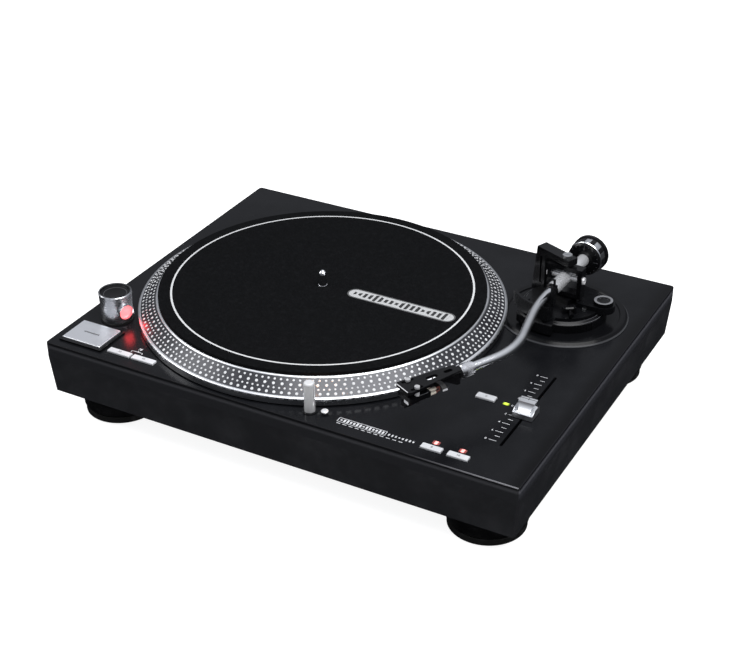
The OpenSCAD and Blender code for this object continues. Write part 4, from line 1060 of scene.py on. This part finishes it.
@dataclass
class Case(Assembly):
    """Top plate, tray, feet and what is inside, with the printing on the plate."""

    finishes = {
        "deck_black": ("top_plate",),
        "case_black": ("base_tray",),
        "foot_black": ("foot_cups", "power_inlet", "jack_panel"),
        "tread_rubber": ("foot_pads",),
        "screw_zinc": ("case_screws", "ground_terminal"),
        "circuit_board": ("motor_board", "main_board", "control_boards"),
        "stator_windings": ("motor_stator",),
        "bearing_brass": ("bearing_housing",),
        "core_iron": ("transformer",),
        "base_black": ("pitch_fader_module",),
        "gloss_black": ("start_stop_bezel", "lamp_sleeve"),
        "gold_plate": ("rca_jacks",),
        "switch_white": ("line_switch",),
        "light_green": ("led_green",),
        "light_red": ("led_red",),
    }
    tick_pitch: float = 6.44
    ticks: int = 17
    tick_long: float = 6.6
    tick_short: float = 4.2
    tick_gap: float = 5.6
    numeral: float = 2.3
    bracket_y: float = 8.4
    bracket_in: float = 7.0
    dial_reach: float = 19.5
    trim_l: float = 43.0
    trim_h: float = 5.4
    jack_reach: float = 6.4
    pin: Point = (2.2, 9.0, 4.2)
    pin_in: float = 9.3

    def pitch_scale(self) -> Piece:
        """Prints the pitch scale: ticks beside the slot, numerals at every other one.

        Returns:
            The print.
        """
        slot = self.plan.on_deck(middle("pitch_fader_module"))
        marks = []
        for i in range(self.ticks):
            step = i - (self.ticks - 1) // 2
            length = self.tick_short if i % 2 else self.tick_long
            y = step * self.tick_pitch
            marks.append(ruled(length, 0.42, shifted(slot, -self.tick_gap - length / 2, y)))
            if i % 2 == 0:
                at = shifted(slot, -self.tick_gap - self.tick_long - 2.6, y)
                marks.append(stamped(str(abs(step)), self.numeral, at))
        return joined(marks)

    def speed_bracket(self) -> Piece:
        """Prints the numerals for both speed buttons together, with their bracket.

        Returns:
            The print.
        """
        left, right = (self.plan.on_deck(middle(node)) for node in ("button_33", "button_45"))
        reach = (right.x - left.x) / MM / 2 - self.bracket_in
        at = shifted((left + right) / 2, y=self.bracket_y)
        marks = [ruled(2 * reach, 0.5, at), ruled(0.5, 2.2, shifted(at, y=1.2))]
        marks += [ruled(0.5, 2.4, shifted(at, side * reach, -1.0)) for side in (-1, 1)]
        return joined([*marks, stamped("78", 2.8, shifted(at, y=4.4))])

    def power_marks(self) -> Piece:
        """Prints ON and OFF beside the power dial.

        Returns:
            The print.
        """
        at = middle("power_dial")
        marks = []
        for words, degrees in (("OFF", -62.0), ("ON", -34.0)):
            way = turned(degrees) @ Vector((self.dial_reach, 0, 0))
            marks.append(stamped(words, 1.9, self.plan.on_deck(at, *way)))
        return joined(marks)

    def trim(self) -> Piece:
        """Prints the plain trim at the front: a ruled frame of level bars over a thin broken rule.

        Returns:
            The print.
        """
        start = self.plan.on_deck(middle("lamp_release_button"), 14.0, -2.0)
        edge = self.trim_h / 2
        marks = [ruled(self.trim_l, 0.5, shifted(start, self.trim_l / 2, y)) for y in (-edge, edge)]
        marks += [ruled(0.5, self.trim_h, shifted(start, x)) for x in (0.0, self.trim_l)]
        marks += [ruled(1.7, 1.6 + 2.4 * abs(math.sin(0.9 * i)), shifted(start, 2.8 + 2.9 * i))
                  for i in range(14)]
        marks += [ruled(1.4, 1.5 + 1.3 * abs(math.sin(0.7 * i + 1.0)),
                        shifted(start, self.trim_l + 3.0 + 3.1 * i, -0.4)) for i in range(8)]
        marks += [ruled(3.4, 0.7, shifted(start, 2.5 + 5.6 * i, -edge - 2.2)) for i in range(11)]
        return joined(marks)

    def jack_ring(self, x: float) -> Piece:
        """Models the insulating ring in the mouth of one phono socket.

        Args:
            x: The socket's place along the case, in metres.

        Returns:
            The ring.
        """
        at = Vector((x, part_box("rca_jacks")[1].y, middle("rca_jacks").z))
        ring = spun([(1.7, -0.2), (3.3, -0.2), (3.3, 0.25), (3.1, 0.4), (1.9, 0.4), (1.7, 0.25)], steps=40)
        return rounded(place(ring, Matrix.Translation(at) @ turned(-90, "X")))

    def inlet_pins(self) -> Piece:
        """Models the mains inlet's three pins.

        Returns:
            The pins.
        """
        at = middle("power_inlet")
        at.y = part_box("power_inlet")[1].y
        return joined([block(self.pin, shifted(at, x, -self.pin_in, z), 0.4)
                       for x, z in ((-7.0, -1.5), (0.0, 2.5), (7.0, -1.5))])

    def build(self) -> None:
        """Makes the printing on the deck and the back's small pieces."""
        for name, made, finish in (("pitch_scale_print", self.pitch_scale(), "print_white"),
                                   ("speed_bracket_print", self.speed_bracket(), "print_white"),
                                   ("power_print", self.power_marks(), "print_grey"),
                                   ("front_trim_print", self.trim(), "print_white")):
            self.hand_over(made, name, "case", finish, "switch_white")
        low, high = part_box("rca_jacks")
        for name, x, finish in (("socket_ring_left", high.x - self.jack_reach * MM, "switch_white"),
                                ("socket_ring_right", low.x + self.jack_reach * MM, "socket_red")):
            self.hand_over(self.jack_ring(x), name, "case", finish, "switch_white")
        self.hand_over(self.inlet_pins(), "inlet_pins", "case", "bright_chrome", "screw_zinc")


@dataclass
class DotRow:
    """One row of strobe dots round the platter's sloping rim."""

    radius: float
    count: int
    dot_r: float
    offset: float = 0.0


@dataclass
class Platter(Assembly):
    """The platter with its strobe dots and rims, the spindle and the felt mat."""

    finishes = {"platter_metal": ("platter",), "bright_chrome": ("spindle",), "core_iron": ("rotor_magnet",)}
    cone_low: Tuple[float, float] = (164.2, -10.9)
    cone_high: Tuple[float, float] = (148.8, -0.4)
    dot_h: float = 0.3
    rows: Tuple[DotRow, ...] = (DotRow(161.6, 160, 1.3), DotRow(158.4, 216, 0.9, 0.4),
                                DotRow(155.2, 133, 1.3, 0.8), DotRow(151.9, 180, 1.0, 1.1))
    mat_hole: float = 3.95
    mat_soft: float = 0.5

    def dots(self) -> Piece:
        """Models the strobe dots: one low stud a row, copied round.

        Returns:
            All rows in one mesh.
        """
        (r0, z0), (r1, z1) = self.cone_low, self.cone_high
        tilt = Matrix.Rotation(math.atan2(z1 - z0, r0 - r1), 4, "Y")
        made = []
        for row in self.rows:
            stud = dished(disc(row.dot_r, self.dot_h, 10), 0.3 * row.dot_r, 0.14)
            slope_z = z0 + (z1 - z0) * (row.radius - r0) / (r1 - r0)
            seat = moved(row.radius, 0, slope_z + 0.05) @ tilt
            for i in range(row.count):
                turn = turned(360.0 * i / row.count + row.offset)
                made.append(twin(stud, Matrix.Translation(self.plan.spindle) @ turn @ seat))
            bpy.data.objects.remove(stud)
        return joined(made)

    def rim(self, profile: Sequence[Tuple[float, float]]) -> Piece:
        """Models one bright turned rim of the slope from its profile."""
        return rounded(spun(profile, self.plan.spindle, 240), 50.0)

    def mat(self) -> Piece:
        """Models the felt mat, its cut edges slightly rounded.

        Returns:
            The mat.
        """
        low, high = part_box("slipmat")
        r, foot, top = (high.x - low.x) / MM / 2, low.z / MM, high.z / MM
        s, hole = self.mat_soft, self.mat_hole
        profile = [(hole, foot), (r - s, foot), (r, foot + s), (r, top - s), (r - 0.3 * s, top - 0.3 * s),
                   (r - s, top), (120.0, top), (90.0, top), (60.0, top), (30.0, top), (hole + 0.3, top),
                   (hole, top - 0.3)]
        return rounded(spun(profile, (self.plan.spindle.x, self.plan.spindle.y, 0), 192), 40.0)

    def build(self) -> None:
        """Makes the platter's studs, rims and mat."""
        self.hand_over(self.dots(), "strobe_dots", "platter_body", "dot_metal", "platter_metal")
        outer = self.rim([(163.7, -10.9), (163.7, -10.45), (164.5, -10.55), (165.6, -11.15), (165.98, -11.6),
                          (165.98, -13.0), (164.9, -13.0)])
        inner = self.rim([(147.9, -0.5), (148.0, -0.02), (148.5, 0.0), (149.3, -0.5), (149.7, -0.95),
                          (149.3, -1.35)])
        for name, made in (("platter_rim_outer", outer), ("platter_rim_inner", inner)):
            self.hand_over(made, name, "platter_body", "bright_rim", "platter_metal")
        mat = self.hand_over(self.mat(), "felt_mat", "mat_body", "mat_felt", "mat_felt", ["slipmat"])


@dataclass
class Controls(Assembly):
    """Buttons, the strobe tower with its power dial, the target lamp and the pitch slider."""

    finishes = {
        "button_silver": ("start_stop_button",),
        "cap_silver": ("button_33", "button_45", "reset_button", "range_button_a", "range_button_b"),
        "slider_silver": ("pitch_slider",),
        "tower_silver": ("strobe_tower",),
        "window_red": ("strobe_lens",),
        "gloss_black": ("power_dial",),
        "lamp_silver": ("target_lamp", "lamp_release_button"),
        "lamp_amber": ("lamp_lens",),
    }
    numeral: float = 2.4
    dial_turn: float = 218.0
    line_in: float = 2.2

    def start_mark(self) -> Piece:
        """Prints a plain row of small level bars on the large button."""
        at = crown("start_stop_button")
        return joined([ruled(0.8, 1.3 + 0.5 * abs(math.sin(1.7 * i)), shifted(at, 1.25 * (i - 6)))
                       for i in range(13)])

    def dial_marks(self) -> Piece:
        """Models the thin ring and the pointer line in the power dial's dish.

        Returns:
            The lines.
        """
        at = crown("power_dial")
        ring = spun([(10.1, -1.35), (10.5, -1.25), (10.5, -1.05), (10.1, -1.15)], at, 72)
        line = block((0.5, 2.6, 0.3), bevel=0.1)
        seat = turned(self.dial_turn) @ moved(0, 8.4, -1.75) @ turned(18, "X")
        return joined([ring, place(line, Matrix.Translation(at) @ seat)])

    def tower_lip(self) -> Piece:
        """Models the polished lip round the tower's mouth.

        Returns:
            The lip.
        """
        profile = [(13.55, -0.6), (13.62, -0.12), (13.8, 0.0), (14.2, 0.0), (14.42, -0.14), (14.6, -0.6)]
        at = crown("power_dial")
        at.z = crown("strobe_tower").z
        return rounded(spun(profile, at))

    def tower_gasket(self) -> Piece:
        """Models the black gasket under the tower."""
        profile = [(12.0, 0.02), (14.7, 0.02), (14.9, 0.2), (14.7, 1.1), (14.0, 1.5), (13.84, 1.5),
                   (12.0, 0.5)]
        return rounded(spun(profile, self.plan.on_deck(middle("power_dial"))))

    def slider_lines(self) -> Piece:
        """Models the dark pointer line on the slider's cap and the short stroke across it.

        Returns:
            The lines.
        """
        low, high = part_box("pitch_slider")
        at = ((low.x + high.x) / 2, high.y - self.line_in * MM, high.z)
        line_l = (high.x - low.x) / MM - 3.4
        return joined([block((x, y, 0.12), at, 0.03) for x, y in ((line_l, 0.5), (0.6, 3.0))])

    def build(self) -> None:
        """Makes the print on the buttons, the tower's trim and the slider's lines."""
        for node, body, words in (("button_33", "button_33_body", "33"),
                                  ("button_45", "button_45_body", "45"),
                                  ("range_button_a", "range_a_body", "8"),
                                  ("range_button_b", "range_b_body", "16"),
                                  ("reset_button", "reset_body", "0")):
            made = stamped(words, self.numeral, crown(node))
            self.hand_over(made, node + "_print", body, "print_grey", "deck_black")
        for made, name, body, finish, slot in (
            (self.start_mark(), "start_stop_print", "start_stop_body", "print_dark", "deck_black"),
            (self.dial_marks(), "power_dial_marks", "power_body", "print_grey", "switch_white"),
            (self.tower_lip(), "tower_lip", "case", "bright_rim", "tower_chrome"),
            (self.tower_gasket(), "tower_gasket", "case", "tread_rubber", "tread_rubber"),
            (self.slider_lines(), "slider_lines", "slider_body", "print_dark", "deck_black"),
        ):
            self.hand_over(made, name, body, finish, slot)


@dataclass
class ArmBase(Assembly):
    """Flange, height ring, platform and the controls round the arm's pivot."""

    finishes = {
        "flange_black": ("arm_base_flange",),
        "base_black": ("height_ring", "arm_platform", "arm_rest_post", "cue_lifter", "rest_clip"),
        "arm_black": ("bearing_yoke", "cue_lever"),
        "screw_zinc": ("bearing_screw",),
        "gloss_black": ("anti_skate_dial",),
    }
    ring_top: float = 12.6
    platform_top: float = 15.0
    pivot_h: float = 39.0
    skate_reach: float = 4.6
    lobe_reach: float = 35.5

    def height_rings(self) -> Piece:
        """Models two thin grey rings that paint highlights on the height ring's edges: one on its top, one on
        its bevel.

        Returns:
            The rings.
        """
        foot = self.plan.on_deck(self.plan.pivot)
        top = self.ring_top
        # Painted highlights: thin grey rings where the height ring's top edge and bevel catch light.
        lines = ([(34.5, top - 0.1), (34.8, top - 0.1), (34.8, top + 0.05), (34.5, top + 0.05)],
                 [(36.9, top - 1.5), (37.25, top - 1.66), (37.28, top - 1.5), (36.95, top - 1.3)])
        return joined([spun(line, foot, 144) for line in lines])

    def skate_rim(self) -> Piece:
        """Models the anti-skate dial's grey rim."""
        profile = [(6.1, -0.75), (6.1, -0.1), (6.3, 0.05), (8.2, 0.05), (8.45, -0.1), (8.5, -0.5),
                   (8.2, -0.75)]
        return rounded(spun(profile, crown("anti_skate_dial"), 72))

    def skate_numerals(self) -> Piece:
        """Prints the numerals round the anti-skate dial.

        Returns:
            The numerals.
        """
        at = Matrix.Translation(crown("anti_skate_dial"))
        reach = moved(0, self.skate_reach, -0.77)
        return joined([marked(str(i), 1.5, at @ turned(45.0 * i - 30.0) @ reach, 0.08) for i in range(8)])

    def lobe_numerals(self) -> Piece:
        """Prints the cue lever's two marks on the platform's lobe.

        Returns:
            The print.
        """
        base = Axes(self.plan.on_deck(self.plan.pivot, z=self.platform_top), self.plan.arm.forward)
        made = []
        for degrees, words in ((-35.0, "0"), (-29.0, "6")):
            a = math.radians(degrees)
            spot = base.at(self.lobe_reach * math.cos(a), self.lobe_reach * math.sin(a), INK / 2)
            made.append(marked(words, 2.2, Matrix.Translation(spot), bold=0.06))
        return joined(made)

    def platform_screws(self) -> Piece:
        """Models the small bright screws on the yoke's foot and the rest post.

        Returns:
            The screws.
        """
        made = []
        for u, v, r in ((6.0, 22.0, 2.0), (-14.0, 12.0, 2.0), (18.0, -16.0, 1.8)):
            seat = self.plan.arm.at(u, v, self.platform_top - self.pivot_h + 0.6)
            made.append(place(screw(r, 1.2, 28, 0.3, 0.5 * r, -0.4), Matrix.Translation(seat)))
        return rounded(joined(made))

    def build(self) -> None:
        """Makes the rings, among them the grey rings that paint the height ring's highlights, and the
        numerals and screws on the base.
        """
        for made, name, body, finish, slot in (
            (self.height_rings(), "height_ring_highlights", "ring_body", "print_grey", "switch_white"),
            (self.skate_rim(), "anti_skate_rim", "anti_skate_body", "rim_grey", "arm_chrome"),
            (self.skate_numerals(), "anti_skate_numerals", "anti_skate_body", "print_grey", "switch_white"),
            (self.lobe_numerals(), "lift_print", "arm_base_body", "print_white", "switch_white"),
            (self.platform_screws(), "platform_screws", "arm_base_body", "screw_zinc", "screw_zinc"),
        ):
            self.hand_over(made, name, body, finish, slot)


@dataclass
class Tonearm(Assembly):
    """The S-shaped tube with its bearing, counterweight, headshell and cartridge."""

    finishes = {
        "tube_chrome": ("arm_tube",),
        "barrel_silver": ("arm_pivot_shaft",),
        "arm_black": ("gimbal_ring",),
        "bright_chrome": ("headshell_nut",),
        "shell_screws": ("headshell_screws",),
        "gloss_black": ("force_dial", "headshell", "cartridge_body", "stylus_assembly"),
        "weight_metal": ("counterweight",),
        "lead_sleeves": ("headshell_leads",),
        "lift_black": ("finger_lift",),
    }
    dial_u: float = -35.0
    weight_r: float = 15.8
    bars: int = 10
    ticks: int = 20
    face_slope: float = -7.0
    gimbal_r: float = 16.9
    nose: float = 55.5
    shell_top: float = 5.2

    def round_arm(self, piece: Piece, u: float = 0.0) -> Piece:
        """Turns a piece that was modelled upright so that its axis is the arm's, its top to the rear."""
        return place(piece, Matrix.Translation(self.plan.arm.at(u, 0)) @ facing(-self.plan.arm.forward))

    def weight_bars(self) -> Piece:
        """Models the counterweight's black grip bars.

        Returns:
            The bars.
        """
        bar = block((1.0, 4.3, 7.6), bevel=0.3)
        made = [twin(bar, turned(360.0 * i / self.bars) @ moved(self.weight_r + 0.1, 0, 8.7))
                for i in range(self.bars)]
        bpy.data.objects.remove(bar)
        return self.round_arm(joined(made), self.dial_u)

    def force_marks(self) -> Piece:
        """Prints the force dial's face: ticks, with a plain numeral at every fifth.

        Returns:
            The print.
        """
        f, s = self.plan.arm.forward, self.plan.arm.side
        face = Matrix(((s.x, 0, f.x, 0), (s.y, 0, f.y, 0), (0, 1, 0, 0), (0, 0, 0, 1)))
        at = Matrix.Translation(self.plan.arm.at(self.dial_u + 0.02, 0)) @ face
        slope = turned(self.face_slope, "X")
        made = []
        for i in range(self.ticks):
            turn = at @ turned(-360.0 * i / self.ticks)
            long = i % 5 == 0
            tick = block((0.45, 1.8 if long else 1.0, 0.1), bevel=0.02, segments=1)
            made.append(place(tick, turn @ moved(0, 13.2 if long else 13.6, -0.46) @ slope))
            if long:
                made.append(marked(str(i // 5), 2.4, turn @ moved(0, 10.8, -0.2) @ slope, 0.08, 0.05))
        return joined(made)

    def trunnion_screws(self) -> Piece:
        """Models the stepped pivot screws at the gimbal's sides.

        Returns:
            The screws.
        """
        arm, made = self.plan.arm, []
        for side in (-1, 1):
            seat = Matrix.Translation(arm.at(0, side * self.gimbal_r)) @ facing(arm.side * side)
            made.append(place(screw(3.4, 1.0, 32, 0.25, 1.2, 0.5), seat))
        return rounded(joined(made))

    def build(self) -> None:
        """Makes the weight's bars, the dial's print, the barrel's rings, the gimbal's screws and the light
        strips that paint highlights on the headshell and cartridge.
        """
        self.hand_over(rounded(self.weight_bars()), "weight_bars", "weight_body", "gloss_black", "deck_black")
        self.hand_over(self.force_marks(), "force_dial_print", "dial_body", "print_grey", "switch_white")
        collar = [(4.6, -30.9), (5.6, -30.9), (6.15, -30.4), (6.15, -28.2), (5.95, -27.9), (4.6, -27.9)]
        cap = [(3.3, 7.9), (5.3, 7.9), (6.3, 8.6), (6.3, 10.4), (5.6, 11.0), (5.52, 11.0), (3.3, 9.0)]
        for name, profile, finish, slot in (("barrel_collar", collar, "gloss_black", "arm_black"),
                                            ("barrel_cap", cap, "bright_chrome", "arm_chrome")):
            self.hand_over(rounded(self.round_arm(spun(profile, steps=64))), name, "arm_body", finish, slot)
        self.hand_over(self.trunnion_screws(), "gimbal_screws", "gimbal_body", "lamp_silver", "screw_zinc")
        top = self.shell_top
        # Painted highlights: a light silver strip on the headshell's front edge and light strips on the
        # cartridge's front and ledge, where those edges catch light.
        for name, size, bevel, (u, v, w), finish, slot in (
            ("headshell_edge_highlight", (0.7, 15.0, 0.4), 0.12, (-0.25, 0.0, top), "lamp_silver", "arm_chrome"),
            ("cartridge_front_highlight", (0.5, 5.6, 2.4), 0.15, (-2.0, 3.2, -6.8), "print_white", "switch_white"),
            ("cartridge_ledge_highlight", (9.5, 0.36, 0.36), 0.08, (-14.5, 8.2, -1.45), "print_grey", "switch_white"),
        ):
            made = place(block(size, bevel=bevel), self.plan.head.matrix(self.nose + u, v, w))
            self.hand_over(made, name, "arm_body", finish, slot)


# ---------------------------------------------------------------- studio

def stood(name: str, data: bpy.types.ID, matrix: Matrix) -> bpy.types.Object:
    """Stands a camera or a light in the studio.

    Args:
        name: Its name.
        data: The camera's or the light's data.
        matrix: Its place and turn.

    Returns:
        The camera or the light.
    """
    made = bpy.data.objects.new(name, data)
    bpy.context.scene.collection.objects.link(made)
    made.matrix_world = matrix
    return made


@dataclass
class Studio:
    """Camera, lights and the pale floor."""

    target: Point = (0.01249, -0.02965, 0.077)
    azimuth: float = 29.043
    elevation: float = 31.001
    roll: float = -0.510
    distance: float = 1.34182
    lens: float = 75.31

    def camera(self) -> None:
        """Puts the camera at its viewing angle."""
        a, e = math.radians(self.azimuth), math.radians(self.elevation)
        back = Vector((math.sin(a) * math.cos(e), -math.cos(a) * math.cos(e), math.sin(e)))
        data = bpy.data.cameras.new("studio_camera")
        data.lens, data.sensor_width, data.clip_start = self.lens, 36.0, 0.05
        at = Matrix.Translation(Vector(self.target) + back * self.distance)
        bpy.context.scene.camera = stood(data.name, data, at @ facing(back) @ turned(self.roll))

    def soft_box(self, name: str, at: Vector, towards: Vector, size: Tuple[float, float], watts: float,
                 tint: Colour = (1.0, 1.0, 1.0)) -> None:
        """Puts up one soft light.

        Args:
            name: Its name.
            at: Its place, in metres.
            towards: What it faces.
            size: Its width and height, in metres.
            watts: Its power.
            tint: Its colour.
        """
        data = bpy.data.lights.new(name, "AREA")
        data.shape, data.size, data.size_y, data.energy, data.color = "RECTANGLE", *size, watts, tint
        light = stood(name, data, Matrix.Translation(at) @ facing(at - towards))
        light.visible_camera = False

    def strobe_glow(self) -> None:
        """Lets the strobe's red lamp light the dots that pass it."""
        lens, tower = crown("strobe_lens"), crown("strobe_tower")
        out = Vector((lens.x - tower.x, lens.y - tower.y, 0)).normalized()
        at = shifted(lens, *(out * 6.0).xy, -5.0)
        self.soft_box("strobe_glow", at, shifted(at, *(out * 25.0).xy, -9.0), (0.008, 0.008), 0.0032,
                      (1.0, 0.05, 0.06))

    def floor(self) -> None:
        """Lays the pale floor, lit from below like a light table."""
        made = started(bpy.ops.mesh.primitive_plane_add, size=14.0, location=(0, 0, CAD_BOX[0].z - 0.0002))
        made.name = "studio_floor"
        g = Graph("studio_floor")
        made.data.materials.append(g.dress(
            Base_Color=g.mix(g.noise(0.6, 2.0), (0.34, 0.34, 0.34), (0.38, 0.38, 0.38)), Roughness=0.9,
            Specular_IOR_Level=0.0, Emission_Color=(1.0, 1.0, 1.0), Emission_Strength=0.9))
        made.visible_glossy = False

    def sky(self) -> None:
        """Makes the room's light: cool, and stronger from above."""
        world = bpy.data.worlds.new("studio_world")
        world.use_nodes = True
        tree = world.node_tree
        glow = tree.nodes["Background"]
        way, split, ramp = (tree.nodes.new("ShaderNode" + kind)
                            for kind in ("TexCoord", "SeparateXYZ", "MapRange"))
        for key, value in (("From Min", -0.05), ("From Max", 0.9), ("To Min", 0.04), ("To Max", 0.8)):
            ramp.inputs[key].default_value = value
        glow.inputs["Color"].default_value = (0.9, 0.93, 1.0, 1.0)
        for output, socket in ((way.outputs["Generated"], split.inputs[0]),
                               (split.outputs["Z"], ramp.inputs["Value"]),
                               (ramp.outputs["Result"], glow.inputs["Strength"])):
            tree.links.new(output, socket)
        bpy.context.scene.world = world

    def build(self) -> None:
        """Sets up the studio."""
        bpy.context.scene.view_settings.view_transform = "Standard"
        self.camera()
        self.sky()
        self.soft_box("key_light", Vector((0.5, -0.2, 1.5)), Vector((0.05, 0.0, 0.05)), (1.3, 1.3), 38.0)
        self.soft_box("left_light", Vector((-1.5, -0.5, 1.3)), Vector((0.0, 0.0, 0.05)), (0.7, 1.2), 12.0)
        self.strobe_glow()
        self.floor()


# ---------------------------------------------------------------- assembly

def main() -> None:
    """Builds the turntable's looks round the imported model."""
    Studio().build()
    plan = Plan.read()
    palette = Palette(plan)
    palette.build()
    for kind in (Case, Platter, Controls, ArmBase, Tonearm):
        part = kind(plan, palette)
        part.dress()
        part.build()
        LOG.info("%s is done", kind.__name__)


if __name__ == "__main__":
    main()
